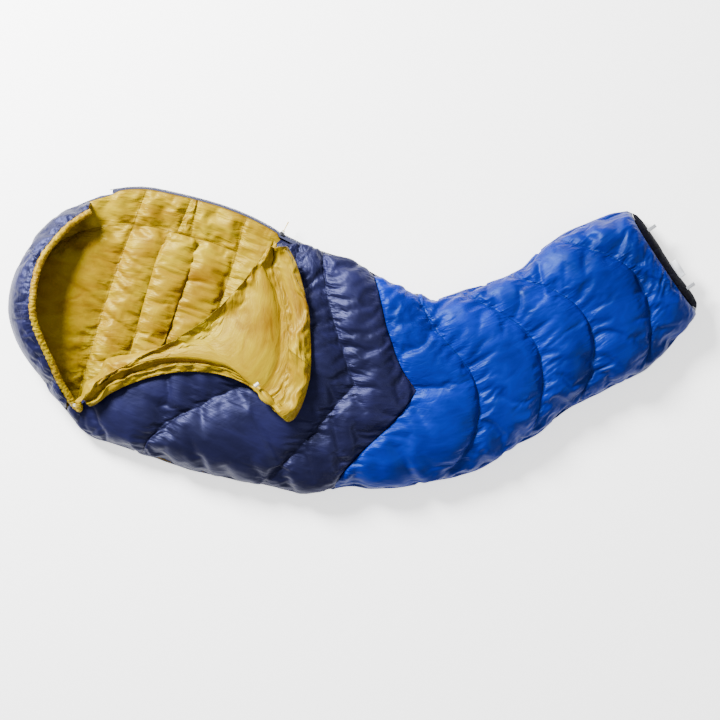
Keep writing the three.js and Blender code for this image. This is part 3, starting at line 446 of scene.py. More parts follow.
@dataclass(frozen=True)
class HardFinish:
    """A moulded plastic or a painted metal."""

    name: str
    body: Tuple[float, float, float]
    worn: Tuple[float, float, float]
    metallic: float = 0.0
    roughness: float = 0.35
    grain: float = 260.0

    def make(self) -> bpy.types.Material:
        """Returns the material, with its grain and its wear."""
        n = Nodes(self.name)
        plain = n.coordinates(False, (1.0, 1.0, 1.0))
        grain = n.noise(plain, self.grain, 4.0)
        wear = n.noise(plain, self.grain / 5, 3.0)
        n.link(n.ramp(wear, [(0.45, self.body), (0.72, self.worn)]), n.shader.inputs["Base Color"])
        gloss = n.math("ADD", self.roughness - 0.08, n.math("MULTIPLY", grain, 0.18))
        n.link(gloss, n.shader.inputs["Roughness"])
        n.link(n.bump(grain, 0.0001, 0.4), n.shader.inputs["Normal"])
        n.shader.inputs["Metallic"].default_value = self.metallic
        return n.material


# Each nylon's second and third colours are its painted crease shade and painted ridge highlight
NAVY = QuiltNylon(
    "navy_nylon", linear(14, 14, 38), linear(8, 8, 27), linear(20, 20, 52), 0.46, 0.05, 0.33,
    (0.40, 0.44, 1.0))
BLUE = QuiltNylon(
    "royal_blue_nylon", linear(0, 17, 103), linear(0, 11, 82), linear(0, 24, 122), 0.45, 0.03, 0.30,
    (0.20, 0.42, 1.0))
YELLOW = QuiltNylon(
    "yellow_nylon", linear(127, 101, 0), linear(104, 72, 0), linear(142, 120, 0), 0.44, 0.01, 0.34,
    (1.0, 0.84, 0.22), 0.0028, 0.006)
END_CLOTH = QuiltNylon(
    "end_cloth", linear(8, 8, 18), linear(5, 5, 12), linear(14, 14, 28), 0.80, 0.0, 0.06, (0.5, 0.5, 0.8))
ZIP_TAPE = WovenTape("zip_tape_cloth", linear(16, 20, 48), linear(34, 38, 72))
WEBBING = WovenTape("grey_webbing", linear(112, 115, 120), linear(160, 162, 166), 1400.0)
PULL_CORD = WovenTape("yellow_cord", linear(176, 140, 0), linear(222, 192, 30), 3000.0)
DRAW_CORD = WovenTape("dark_cord", linear(24, 26, 34), linear(60, 62, 72), 3000.0)
LABEL = WovenTape("label_cloth", linear(206, 210, 218), linear(240, 243, 247), 2600.0, 0.0001)
LOCK_PLASTIC = HardFinish("lock_plastic", linear(206, 202, 184), linear(226, 224, 210))
COIL_PLASTIC = HardFinish("coil_plastic", linear(12, 15, 34), linear(32, 36, 62), 0.0, 0.38)
SLIDER_METAL = HardFinish("slider_metal", linear(40, 42, 50), linear(150, 150, 156), 0.9, 0.32)
SPRING_STEEL = HardFinish("spring_steel", linear(150, 152, 156), linear(190, 190, 194), 0.95, 0.28)


# ---------------------------------------------------------------- quilted cloth
@dataclass
class Stuffing:
    """How a quilted sheet swells between its seams."""

    pressure: float = 4.0
    growth: float = 0.05
    cap: float = 0.026
    frames: int = 18
    bending: float = 0.05
    first_puff: float = 0.5


@dataclass(frozen=True)
class Gathers:
    """The small gathers beside a seam, and the slanted pulls across a panel."""

    height: float = 0.0052
    reach: float = 0.030
    across: float = 62.0
    along: float = 9.0
    pull_height: float = 0.0042
    flat_edge: float = 0.006


GATHERS = Gathers()


@dataclass
class QuiltedSheet:
    """A sheet of cloth on a grid of rows and columns, sewn down along some of its rows and columns."""

    name: str
    rows: Array
    columns: Array
    place: Callable[[Array, Array], Array]
    seam_rows: Sequence[float] = ()
    seam_columns: Sequence[Tuple[float, ...]] = ()
    puff: float = 0.02
    thickness: float = 0.0012
    stuffing: Stuffing = field(default_factory=Stuffing)
    subdivide: bool = True
    seed: int = 1
    limit: Optional[Callable[[Array], Array]] = None
    flip: bool = False
    simulate: bool = True
    tuck_depth: float = 1.0
    held: Optional[Callable[[Array], Array]] = None

    def build(self, finish: bpy.types.Material) -> bpy.types.Object:
        """Returns the finished piece: laid out, swollen between its seams, and given its thickness."""
        piece = self._lay_out()
        start = coordinates(piece)
        normals = self._normals(start)
        gap = self._seam_gaps()
        lift = self.puff * np.clip(1 - np.exp(-gap / (0.55 * self.puff + 0.004)), 0, 1)
        tucks = self.tuck_depth * self._tucks(start, gap)
        if self.held is not None:
            free = 1 - self.held(start)
            lift, tucks = lift * free, tucks * free
        by_formula = not self.simulate
        share = 1.0 if by_formula else self.stuffing.first_puff
        seeded = start + normals * (lift * share + tucks)[:, None]
        place_vertices(piece, seeded)
        if not by_formula:
            self._swell(piece, gap, start)
        if self.limit is not None:
            place_vertices(piece, self.limit(coordinates(piece)))
        store_attribute(piece, "seam_gap", gap)
        piece.data.materials.append(finish)
        self._finish_modifiers(piece)
        return piece

    def _lay_out(self) -> bpy.types.Object:
        """Returns the sheet at its seams' level, with its UV map in metres."""
        bm = bmesh.new()
        bmesh.ops.create_grid(bm, x_segments=len(self.rows) - 1, y_segments=len(self.columns) - 1, size=0.5)
        flat = np.array([v.co for v in bm.verts])
        row = np.rint((flat[:, 0] + 0.5) * (len(self.rows) - 1)).astype(int)
        column = np.rint((flat[:, 1] + 0.5) * (len(self.columns) - 1)).astype(int)
        self.row_of, self.column_of = row, column
        spots = self.place(self.rows[row], self.columns[column])
        layout = np.zeros((len(self.rows), len(self.columns), 3))
        layout[row, column] = spots
        across = np.concatenate([np.zeros((len(self.rows), 1)), np.cumsum(
            np.linalg.norm(np.diff(layout, axis=1), axis=2), axis=1)], axis=1)
        across -= across[:, [len(self.columns) // 2]]
        steps = np.linalg.norm(np.diff(layout, axis=0), axis=2).mean(axis=1)
        down = np.concatenate([[0.0], np.cumsum(steps)])
        for vertex, spot in zip(bm.verts, spots):
            vertex.co = spot
        if self.flip:
            bmesh.ops.reverse_faces(bm, faces=bm.faces)
        uv = bm.loops.layers.uv.new("UVMap")
        bm.verts.index_update()
        for face in bm.faces:
            for loop in face.loops:
                i = loop.vert.index
                loop[uv].uv = (across[row[i], column[i]], down[row[i]])
        self.layout, self.down = layout, down
        return smooth_piece(bm, self.name)

    def _normals(self, spots: Array) -> Array:
        """Returns the layout's outward directions at each vertex."""
        grid = np.zeros_like(self.layout)
        grid[self.row_of, self.column_of] = spots
        by_row = np.gradient(grid, axis=0)
        by_column = np.gradient(grid, axis=1)
        outward = unit(np.cross(by_row, by_column))
        if self.flip:
            outward = -outward
        return outward[self.row_of, self.column_of]

    def _seam_gaps(self) -> Array:
        """Returns each vertex's distance from its nearest seam."""
        spots = self.layout[self.row_of, self.column_of]
        gap = np.full(len(spots), 1.0)
        for seam in self.seam_rows:
            i = int(np.argmin(np.abs(self.rows - seam)))
            gap = np.minimum(gap, np.linalg.norm(spots - self.layout[i, self.column_of], axis=1))
        for seam, *span in self.seam_columns:
            j = int(np.argmin(np.abs(self.columns - seam)))
            along = np.linalg.norm(spots - self.layout[self.row_of, j], axis=1)
            if span:
                inside = (self.rows[self.row_of] >= span[0]) & (self.rows[self.row_of] <= span[1])
                along = np.where(inside, along, 1.0)
            gap = np.minimum(gap, along)
        return gap

    def _tucks(self, spots: Array, gap: Array) -> Array:
        """Returns small gathers that run away from the seams, and slanted pulls across the panels."""
        made = np.zeros(len(spots))
        for i, (spot, distance) in enumerate(zip(spots, gap)):
            column, row = self.column_of[i], self.row_of[i]
            along = float(np.linalg.norm(spot - self.layout[row, 0]))
            gather = noise.noise(Vector((
                along * GATHERS.across + self.seed * 17, self.down[row] * GATHERS.along, self.seed * 3.1)))
            pull = noise.noise(Vector((spot[0] * 17 + self.seed, spot[1] * 11 + spot[0] * 9, spot[2] * 9)))
            fade = min(distance / GATHERS.flat_edge, 1.0)
            beside_seam = GATHERS.height * gather * math.exp(-distance / GATHERS.reach)
            made[i] = fade * (beside_seam + GATHERS.pull_height * pull)
        return made

    def _swell(self, piece: bpy.types.Object, gap: Array, start: Array) -> None:
        """Swells the sheet with its seams held, and keeps every point within the cap of its start."""
        sewn = [int(i) for i in np.nonzero(gap < 1e-5)[0]]
        group = piece.vertex_groups.new(name="sewn")
        group.add(sewn, 1.0, "REPLACE")
        cloth = piece.modifiers.new("swell", "CLOTH")
        s = cloth.settings
        s.quality = 4
        s.mass = 0.15
        s.air_damping = 1.5
        s.tension_stiffness = 12
        s.compression_stiffness = 12
        s.shear_stiffness = 5
        s.bending_stiffness = self.stuffing.bending
        s.vertex_group_mass = group.name
        s.pin_stiffness = 1.0
        s.use_pressure = True
        s.uniform_pressure_force = self.stuffing.pressure
        s.shrink_min = -self.stuffing.growth
        s.effector_weights.gravity = 0
        cloth.collision_settings.use_collision = False
        cloth.point_cache.frame_start = 1
        cloth.point_cache.frame_end = self.stuffing.frames
        scene = bpy.context.scene
        for step in range(1, self.stuffing.frames + 1):
            scene.frame_set(step)
        evaluated = piece.evaluated_get(bpy.context.evaluated_depsgraph_get())
        swollen = np.array([v.co for v in evaluated.data.vertices])
        piece.modifiers.remove(cloth)
        piece.vertex_groups.remove(group)
        scene.frame_set(1)
        move = swollen - start
        far = np.linalg.norm(move, axis=1)
        cap = self.stuffing.cap
        kept = np.where(far > 0.6 * cap, cap * (1 - 0.4 * np.exp(-(far - 0.6 * cap) / (0.4 * cap))), far)
        move *= (kept / np.maximum(far, 1e-9))[:, None]
        place_vertices(piece, start + move)
        most, average = far.max() * 1e3, far.mean() * 1e3
        LOG.info("%s swelled %.1f mm at most, %.1f mm on average", self.name, most, average)

    def _finish_modifiers(self, piece: bpy.types.Object) -> None:
        """Gives the sheet its thickness and, where it is looked at closely, its smoothness."""
        wall = piece.modifiers.new("fabric", "SOLIDIFY")
        wall.thickness = self.thickness
        wall.offset = -1
        if self.subdivide:
            soft = piece.modifiers.new("smooth", "SUBSURF")
            soft.levels = soft.render_levels = 1


def add_to_scene(thing: bpy.types.Object) -> bpy.types.Object:
    """Links an object to the scene, and returns it."""
    bpy.context.scene.collection.objects.link(thing)
    return thing


def smooth_piece(bm: bmesh.types.BMesh, name: str) -> bpy.types.Object:
    """Returns a smoothly shaded piece in the scene, made of that mesh, which is used up."""
    mesh = bpy.data.meshes.new(name)
    bm.to_mesh(mesh)
    bm.free()
    for polygon in mesh.polygons:
        polygon.use_smooth = True
    return add_to_scene(bpy.data.objects.new(name, mesh))


def coordinates(piece: bpy.types.Object) -> Array:
    """Returns the piece's vertices as rows of numbers."""
    flat = np.zeros(len(piece.data.vertices) * 3)
    piece.data.vertices.foreach_get("co", flat)
    return flat.reshape(-1, 3)


def place_vertices(piece: bpy.types.Object, spots: Array) -> None:
    """Moves the piece's vertices to those places."""
    piece.data.vertices.foreach_set("co", np.ascontiguousarray(spots, float).ravel())
    piece.data.update()


def store_attribute(piece: bpy.types.Object, name: str, values: Array) -> None:
    """Keeps one number for each vertex under that name."""
    attribute = piece.data.attributes.new(name, "FLOAT", "POINT")
    attribute.data.foreach_set("value", np.asarray(values, np.float32))


def spaced(start: float, stop: float, count: int) -> Array:
    """Returns that many even steps from start to stop, both included."""
    return np.linspace(start, stop, count + 1)


def rows_between(seams: Sequence[float], lengths: Sequence[float], spacing: float) -> Array:
    """Returns row places that fall on every seam, about the spacing apart in between."""
    made: List[float] = []
    for i, length in enumerate(lengths):
        count = max(3, int(round(length / spacing)))
        made.extend(np.linspace(seams[i], seams[i + 1], count + 1)[:-1])
    made.append(seams[-1])
    return np.array(made)


def between_seams(seams: Array, rows: Array) -> Array:
    """Returns the distance along the bag of each row, where rows count the seams."""
    i = np.clip(np.floor(rows).astype(int), 0, len(seams) - 2)
    index = np.arange(len(rows))
    return seams[i, index] + (seams[i + 1, index] - seams[i, index]) * (rows - i)


def round_columns(power: float, height: float, half: float, count: int) -> Array:
    """Returns places across a rounded section that lie evenly along its outline.

    Args:
        power: The section's squareness.
        height: Its height over its edges.
        half: Its half width.
        count: How many steps there are from edge to edge.

    Returns:
        Angles from -90 to 90 degrees, in radians.
    """
    angle = np.linspace(-math.pi / 2, math.pi / 2, 2001)
    v, h = round_section(angle, power)
    steps = np.hypot(np.diff(v * half), np.diff(h * height))
    at = np.concatenate([[0.0], np.cumsum(steps)])
    return np.interp(np.linspace(0, at[-1], count + 1), at, angle)


def round_section(angle: Array, power: float) -> Tuple[Array, Array]:
    """Returns the share of the half width and of the height at an angle round a section."""
    sine, cosine = np.sin(angle), np.maximum(np.cos(angle), 0.0)
    cosine = np.where(np.abs(np.abs(angle) - math.pi / 2) < 1e-6, 0.0, cosine)
    return np.sign(sine) * np.power(np.abs(sine), 2 / power), np.power(cosine, 2 / power)


# ---------------------------------------------------------------- the layers
@dataclass
class TopLayer:
    """The quilted shell over the sleeper: a navy torso and royal blue legs."""

    seam_depth: float = 0.023
    side_inset: float = 0.010
    edge_setback: float = 0.0015
    spacing: float = 0.0072
    cells_across: int = 112
    puff: float = 0.025
    cover: float = 0.003
    foot_slope: float = 0.020
    zip_span: Tuple[float, float] = (0.702, 1.360)
    zip_cover: float = 0.021
    flap_reach: float = 0.30
    lowest_under_flap: float = 0.09
    lowest: float = 0.034

    def seams(self, v: Array) -> List[Array]:
        """Returns where each seam of the layer lies at v, from the fold to the foot."""
        plan = PLAN
        fold = plan.fold_edge(v, self.edge_setback)
        torso = plan.torso_seam_at - plan.chevron_sweep * np.abs(v)
        chevron = plan.chevron_at - plan.chevron_sweep * np.abs(v)
        legs = [at - plan.leg_bow * v * v for at in plan.leg_seams_at]
        return [fold, (fold + torso) / 2, torso, chevron, *legs, np.full_like(v, plan.length - 0.001)]

    def place(self, rows: Array, angles: Array) -> Array:
        """Returns the shell's points at seam level, for row places and angles round the section."""
        plan = PLAN
        v, rise = round_section(angles, plan.top_power)
        s = between_seams(np.stack(self.seams(v)), rows)
        inset = self.side_inset * np.power(rise, 0.5)
        closed_zip = smooth((s - self.zip_span[0]) / 0.05) * smooth((self.zip_span[1] - s) / 0.09) * (v > 0)
        inset = inset - self.zip_cover * closed_zip * np.sin(np.pi * np.clip(rise / 0.85, 0, 1)) ** 0.7
        half = plan.half_width(s) - inset
        height = plan.top_height(s, v) - plan.edge_height - self.seam_depth
        slope = self.foot_slope * rise * smooth((s - 1.90) / 0.09)
        return plan.point(s - slope, v * half, plan.edge_height + height * rise)

    def keep_under_flap(self, spots: Array) -> Array:
        """Returns the points with none in the plane that the open flap lies in."""
        behind = (spots - PLAN.fold_start) @ PLAN.fold_away
        plane = PLAN.fold_start[2] + behind * math.tan(math.radians(PLAN.flap_tilt)) - self.cover
        kept = spots.copy()
        under = np.minimum(spots[:, 2], np.maximum(plane, self.lowest_under_flap))
        kept[:, 2] = np.where(behind < self.flap_reach, under, spots[:, 2])
        kept[:, 2] = np.maximum(kept[:, 2], self.lowest)
        return kept

    def build(self) -> None:
        """Builds the torso's and the legs' shells."""
        middle = [float(s[0]) for s in self.seams(np.array([0.0]))]
        lengths = list(np.diff(middle))
        angles = round_columns(PLAN.top_power, 0.09, 0.33, self.cells_across)
        ends = (float(angles[0]), float(angles[-1]))
        torso = QuiltedSheet(
            "torso_shell_top", rows_between([0, 1, 2, 3], [x * 1.15 for x in lengths[:3]], self.spacing),
            angles, self.place, seam_rows=(0, 1, 2, 3), seam_columns=[(e,) for e in ends], puff=self.puff,
            stuffing=Stuffing(4.5, 0.06, 0.032), limit=self.keep_under_flap, seed=2)
        piece = torso.build(NAVY.make())
        dress(piece, Body.BAG,
              ["front_shell_torso"] + [f"front_down_chamber_{i}" for i in (1, 2, 3)]
              + [f"front_baffle_{i}" for i in (1, 2, 3)])
        legs = QuiltedSheet(
            "leg_shell_top", rows_between([3, 4, 5, 6, 7, 8], [x * 1.1 for x in lengths[3:]], self.spacing),
            round_columns(PLAN.top_power, 0.086, 0.24, 88), self.place, seam_rows=(3, 4, 5, 6, 7, 8),
            seam_columns=[(e,) for e in ends], puff=self.puff + 0.002,
            stuffing=Stuffing(4.5, 0.06, 0.033), seed=5)
        piece = legs.build(BLUE.make())
        dress(piece, Body.BAG,
              ["front_shell_legs"] + [f"front_down_chamber_{i}" for i in range(4, 9)]
              + [f"front_baffle_{i}" for i in range(4, 8)])


def dress(
    piece: bpy.types.Object, body: Body, replaced: Sequence[str] = ()
) -> bpy.types.Object:
    """Puts a finished piece on its body.

    Args:
        piece: The piece, with its place in its mesh.
        body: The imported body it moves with.
        replaced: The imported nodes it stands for.

    Returns:
        The same piece.
    """
    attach(piece, body.value)
    if replaced:
        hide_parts(*replaced)
    LOG.info("%s: %d vertices on body %s", piece.name, len(piece.data.vertices), body.value)
    return piece


# ---------------------------------------------------------------- under the sleeper
@dataclass
class UnderLayer:
    """The shell that lies on the floor, and the quilted lining of the open hollow above it."""

    side_inset: float = 0.007
    colour_seam: float = 0.985
    seams_at: Tuple[float, ...] = (0.470, 0.985, 1.500)
    side_seams_at: Tuple[float, ...] = (1.180, 1.345, 1.705)
    shell_puff: float = 0.015
    lining_puff: float = 0.026
    lining_inset: float = 0.0008
    leg_lining_inset: float = 0.016
    floor_gap: float = 0.0006
    spacing: float = 0.011
    head_start: float = 0.00001
    lining_level: float = 0.023
    facing_reach: float = 0.0115
    zip_span: Tuple[float, float] = (0.240, 1.290)
    slider_at: float = 0.668

    def shell_place(self, rows: Array, angles: Array) -> Array:
        """Returns the under shell's points; a row is a distance along the bag."""
        plan = PLAN
        v, drop = round_section(angles, plan.under_power)
        drop = np.minimum(1.0, drop / 0.99)
        half = plan.half_width(rows) - self.side_inset * np.power(drop, 0.5)
        first, last = self.zip_span
        beside_zip = smooth((rows - first) / 0.02) * smooth((last - rows) / 0.02)
        lip = 0.0045 * beside_zip * np.power(np.clip(v, 0, 1), 60) * (1 - drop)
        height = plan.edge_height - 0.0004
        return plan.point(rows, v * half + lip, height - (height - self.floor_gap) * drop)

    def on_floor(self, spots: Array) -> Array:
        """Returns 1 where the shell rests on the floor, and 0 up its sides."""
        return smooth((0.012 - spots[:, 2]) / 0.010)

    def above_floor(self, spots: Array) -> Array:
        """Returns the points with none under the floor."""
        kept = spots.copy()
        kept[:, 2] = np.clip(kept[:, 2], 0.0004, PLAN.edge_height - 0.0003)
        return kept

    def lining_seams(self, v: Array) -> Array:
        """Returns where the lining's seams cross the hollow at v, from the head to the foot."""
        ends = (np.full_like(v, 0.0015), np.full_like(v, 0.700), np.full_like(v, PLAN.length - 0.015))
        neck = (0.252 + 0.058 * v, 0.366 + 0.045 * v, 0.446 - 0.018 * v, 0.566 - 0.034 * v)
        rest = (np.full_like(v, 0.985), np.full_like(v, 1.5))
        return np.stack([ends[0], *neck, ends[1], *rest, ends[2]])

    def lining_place(self, rows: Array, v: Array) -> Array:
        """Returns the lining's points at seam level."""
        s = between_seams(self.lining_seams(v), rows)
        share = 1 - np.power(np.abs(v), 7)
        level = PLAN.edge_height + 0.0011
        z = level + (self.lining_level - level) * share
        open_zip = smooth((s - 0.235) / 0.02) * smooth((self.slider_at - s) / 0.02)
        reach = self.facing_reach * open_zip * np.power(np.clip(v, 0, 1), 90)
        inset = self.lining_inset + self.leg_lining_inset * smooth((s - 0.70) / 0.05)
        return PLAN.point(s, v * (PLAN.half_width(s) - inset) + reach, z)

    def build(self) -> None:
        """Builds the two under shells and the lining above them."""
        navy = bpy.data.materials[NAVY.name]
        blue = bpy.data.materials[BLUE.name]
        yellow = YELLOW.make()
        angles = round_columns(PLAN.under_power, PLAN.edge_height, 0.33, 84)
        torso_nodes = ["back_shell_torso"] + [
            f"back_{part}_{i}" for part in ("down_chamber", "baffle") for i in (1, 2)]
        leg_nodes = ["back_shell_legs", "back_down_chamber_3", "back_down_chamber_4", "back_baffle_3"]
        foot = PLAN.length - 0.001
        for name, start, stop, finish, slot, nodes in (
            ("torso_shell_under", self.head_start, self.colour_seam, navy, Slot.NAVY_SHELL, torso_nodes),
            ("leg_shell_under", self.colour_seam, foot, blue, Slot.BLUE_SHELL, leg_nodes),
        ):
            crossed = [s for s in sorted((*self.seams_at, *self.side_seams_at)) if start < s < stop]
            seams = [start] + crossed + [stop]
            spans = [
                np.linspace(a, b, max(3, round((b - a) / self.spacing)) + 1)
                for a, b in zip(seams, seams[1:])]
            rows = np.unique(np.concatenate([np.geomspace(start, start + self.spacing, 12)] + spans))
            sheet = QuiltedSheet(
                name, rows, angles, self.shell_place, seam_rows=seams,
                seam_columns=[(float(angles[0]),), (float(angles[-1]),)], puff=self.shell_puff,
                subdivide=False, simulate=False, flip=True, held=self.on_floor, limit=self.above_floor,
                seed=9)
            piece = sheet.build(finish)
            dress(piece, Body.BAG, nodes)
        basin = QuiltedSheet(
            "hollow_lining", rows_between([0, 1, 2, 3, 4, 5], [0.25, 0.115, 0.08, 0.12, 0.14], 0.0068),
            spaced(-1.0, 1.0, 100), self.lining_place, seam_rows=(0, 1, 2, 3, 4, 5),
            seam_columns=[(-1.0,), (1.0,), (0.74, 0.0, 4.0)], puff=self.lining_puff,
            stuffing=Stuffing(4.5, 0.08, 0.034), seed=11)
        piece = dress(basin.build(yellow), Body.BAG, ["back_liner"])
        inside = QuiltedSheet(
            "foot_hollow_lining", rows_between([5, 6, 7, 8], [0.3, 0.5, 0.49], 0.022),
            spaced(-1.0, 1.0, 40), self.lining_place, seam_rows=(5, 6, 7, 8),
            seam_columns=[(-1.0,), (1.0,)], puff=0.016, simulate=False, subdivide=False, seed=12)
        piece = dress(inside.build(yellow), Body.BAG)
        self._neck_collar(yellow)

    def _neck_collar(self, finish: bpy.types.Material) -> None:
        """Builds the soft collar that lies across the back of the neck."""
        def place(x: Array, v: Array) -> Array:
            """Returns the collar's points at seam level."""
            middle = 0.406 + 0.014 * v
            narrow = super_round((v - 0.16) / 0.58, 4)
            return PLAN.point(middle + x * 0.046 * (0.35 + 0.65 * narrow), v * PLAN.half_width(middle), 0.037)

        sheet = QuiltedSheet(
            "neck_collar", spaced(-1, 1, 15), spaced(-0.42, 0.735, 62), place, seam_rows=(-1, 1),
            seam_columns=[(-0.42,), (0.735,)], puff=0.024, stuffing=Stuffing(5.0, 0.08, 0.026), seed=14)
        dress(sheet.build(finish), Body.BAG, ["back_collar"])


@dataclass
class RoofLining:
    """The lining under the top layer, seen through the hollow's mouth and when the flap is up."""

    loft: float = 0.034
    inset: float = 0.0015
    side: float = 0.86

    def place(self, rows: Array, v: Array) -> Array:
        """Returns the lining's points; rows count the top layer's seams."""
        s = between_seams(np.stack(TopLayer().seams(v)), rows)
        share = 1 - np.power(np.clip(np.abs(v) / self.side, 0, 1), 4)
        low = PLAN.edge_height + 0.0015
        z = low + (PLAN.top_height(s, v) - self.loft - self.inset - low) * share
        return PLAN.point(np.minimum(s, PLAN.length - 0.014), v * (PLAN.half_width(s) - 0.020), z + 0.002)

    def build(self) -> None:
        """Builds the lining."""
        sheet = QuiltedSheet(
            "roof_lining", rows_between([0, 1, 2, 3, 4, 5, 6, 7, 8], [0.2] * 8, 0.022),
            spaced(-0.985, 0.985, 44), self.place, seam_rows=range(9),
            seam_columns=[(-0.985,), (0.985,)], puff=0.008, simulate=False, subdivide=False, flip=True,
            seed=15)
        piece = sheet.build(bpy.data.materials[YELLOW.name])
        dress(piece, Body.BAG, ["front_liner"])


# ---------------------------------------------------------------- the hood
@dataclass
class Hood:
    """The quilted hood, its hem with the drawcord, and the gusset that joins it to the chest."""

    rim_inset: float = 0.100
    rim_height: float = 0.196
    end_height: float = 0.104
    end_closed_at: float = 0.160
    end_zip_at: float = 0.200
    loft: float = 0.034
    rim_loft: float = 0.020
    curl: float = 81.0
    gores: int = 4
    hem_radius: float = 0.008
    hem_gap: float = 0.0025
    hem_puff: float = 0.0112
    centre_at: float = 0.230
    cord_radius: float = 0.0014
    cord_end: float = 0.034

    def end_angle(self, at: float) -> float:
        """Returns the angle round the head at which the hood ends, for an end that far from the head."""
        return math.acos(math.pow(1 - at / PLAN.head_round, PLAN.head_power / 2))

    def point(self, t: Array, k: Array, depth: Array) -> Array:
        """Returns points of the hood's wall.

        Args:
            t: Place round the head, from the closed side to the zip.
            k: Place up the wall, from its base to its rim.
            depth: Distance into the wall from its outer face.

        Returns:
            The points.
        """
        t, k, depth = np.broadcast_arrays(*(np.asarray(value, float) for value in (t, k, depth)))
        first, last = -self.end_angle(self.end_closed_at), self.end_angle(self.end_zip_at)
        angle = first + (last - first) * t
        power = 2 / PLAN.head_power
        s = PLAN.head_round * (1 - np.power(np.maximum(np.cos(angle), 0), power))
        across = np.sign(angle) * np.power(np.abs(np.sin(angle)), power)
        base = PLAN.point(s, across * (PLAN.cut_half_width(s) - 0.0005), PLAN.edge_height + 0.0005)
        centre = PLAN.point(np.array([self.centre_at]), np.array([0.0]), 0.0)[0]
        inwards = centre - base
        inwards[..., 2] = 0
        inwards = unit(inwards)
        crown = self.end_height + (self.rim_height - self.end_height) * np.sin(np.pi * t)
        rise = crown - self.hem_radius - base[..., 2]
        lean = self.rim_inset * rise / self.rim_height
        turn = np.radians(self.curl) * k
        out = lean * (1 - np.cos(turn)) + depth * np.cos(turn)
        made = base + inwards * out[..., None]
        made[..., 2] += rise * np.sin(turn) - depth * np.sin(turn)
        return made

    def wall_depth(self, t: Array, k: Array, inner: bool) -> Array:
        """Returns how deep in the wall a fabric lies: the two meet at the rim and at the ends."""
        full = self.loft + (self.rim_loft - self.loft) * k
        pinch = super_round(2 * np.clip(t, 0, 1) - 1, 14)
        middle = self.rim_loft / 2
        to_rim = np.power(np.clip(k, 0, 1.05), 8)
        outer = 0.006 + (middle - 0.006 - 0.006) * to_rim
        if not inner:
            return outer
        return outer + 0.001 + (full - 0.011 - outer + (middle + 0.006 - full + 0.011) * to_rim) * pinch

    def hem_line(self, t: Array) -> Array:
        """Returns the middle of the hem at place t."""
        middle = self.rim_loft / 2
        rim = self.point(t, np.ones_like(t), middle)
        ahead = self.point(t + 0.01, np.ones_like(t), middle)
        along = unit(ahead - self.point(t - 0.01, np.ones_like(t), middle))
        past = rim - self.point(t, np.full_like(t, 0.98), middle)
        past = past - along * np.sum(past * along, axis=-1, keepdims=True)
        return rim + unit(past) * (self.hem_radius + self.hem_gap)

    def gusset_line(self, w: Array) -> Array:
        """Returns the top edge of the gusset, from the hood's hem to the end of the fold."""
        start = self.hem_line(np.array([0.0]))[0]
        lead = unit(self.hem_line(np.array([0.0]))[0] - self.hem_line(np.array([0.03]))[0]) * 0.09
        stop = PLAN.fold_stop + np.array([0.0, 0.0, -0.004]) - PLAN.fold_along * 0.006
        tail = -unit(stop - start - lead) * 0.02
        w = w[:, None]
        first = start + lead * w
        last = stop + tail * (1 - w)
        return first + (last - first) * smooth(w)

    def build(self) -> None:
        """Builds the hood's shell, lining, hem, gusset and cord."""
        navy = bpy.data.materials[NAVY.name]
        yellow = bpy.data.materials[YELLOW.name]
        gores = [i / self.gores for i in range(self.gores + 1)]
        rows = rows_between(gores, [0.27] * self.gores, 0.0078)
        k = np.linspace(0, 1.035, 33)
        shell = QuiltedSheet(
            "hood_shell_quilted", rows, k, lambda t, up: self.point(t, up, self.wall_depth(t, up, False)),
            seam_rows=(0.0, gores[3], 1.0), seam_columns=[(0.0,), (1.035,)], puff=0.016, flip=True,
            stuffing=Stuffing(4.0, 0.06, 0.020), seed=21)
        down = [f"hood_down_gore_{i + 1}" for i in range(self.gores)]
        dress(shell.build(navy), Body.BAG, ["hood_shell"] + down)
        lining = QuiltedSheet(
            "hood_lining_quilted", rows, k, lambda t, up: self.point(t, up, self.wall_depth(t, up, True)),
            seam_rows=gores, seam_columns=[(0.0,), (k[21],), (1.035,)], puff=0.018,
            stuffing=Stuffing(4.5, 0.09, 0.024), seed=23)
        dress(lining.build(yellow), Body.BAG, ["hood_liner"])
        round_head = self.hem_line(np.linspace(1, 0, 260))
        to_fold = self.gusset_line(np.linspace(0, 1, 48))[1:]
        path = np.vstack([round_head, to_fold])
        hem = tube("hood_hem_gathered", path, self.hem_puff, 18, gathers=0.0030, seed=25)
        hem.data.materials.append(yellow)
        dress(hem, Body.BAG, ["hood_hem"])
        self._gusset(navy, yellow)
        self._cord()

    def _gusset(self, navy: bpy.types.Material, yellow: bpy.types.Material) -> None:
        """Builds the piece between the hood's closed end and the chest, outside and lining."""
        top = TopLayer()
        turn = -np.pi / 2 + np.linspace(0, 1, 18) * np.radians(38)
        chest = top.place(np.zeros(18), turn)
        k = np.linspace(0, 1.035, 18)
        hood_end = self.point(np.zeros(18), k, self.wall_depth(np.zeros(18), k, False))
        crest = self.gusset_line(np.linspace(0, 1, 25))

        def place(w: Array, up: Array) -> Array:
            """Returns the gusset's points between the hood's end and the chest."""
            j = np.rint(up * 17).astype(int)
            i = np.rint(w * 24).astype(int)
            share = smooth(w)[:, None]
            wall = hood_end[j] + (chest[j] - hood_end[j]) * share
            end_wall = hood_end[-1] + (chest[-1] - hood_end[-1]) * share
            foot = hood_end[0] + (chest[0] - hood_end[0]) * share
            reach = (np.linalg.norm(wall - foot, axis=1) / np.linalg.norm(end_wall - foot, axis=1))[:, None]
            s = 0.160 + (0.236 - 0.160) * w
            base = PLAN.point(s, -PLAN.half_width(s), 0.0362)
            wall = wall - foot + base
            return wall + (crest[i] - (end_wall - foot + base)) * np.power(reach, 1.5)

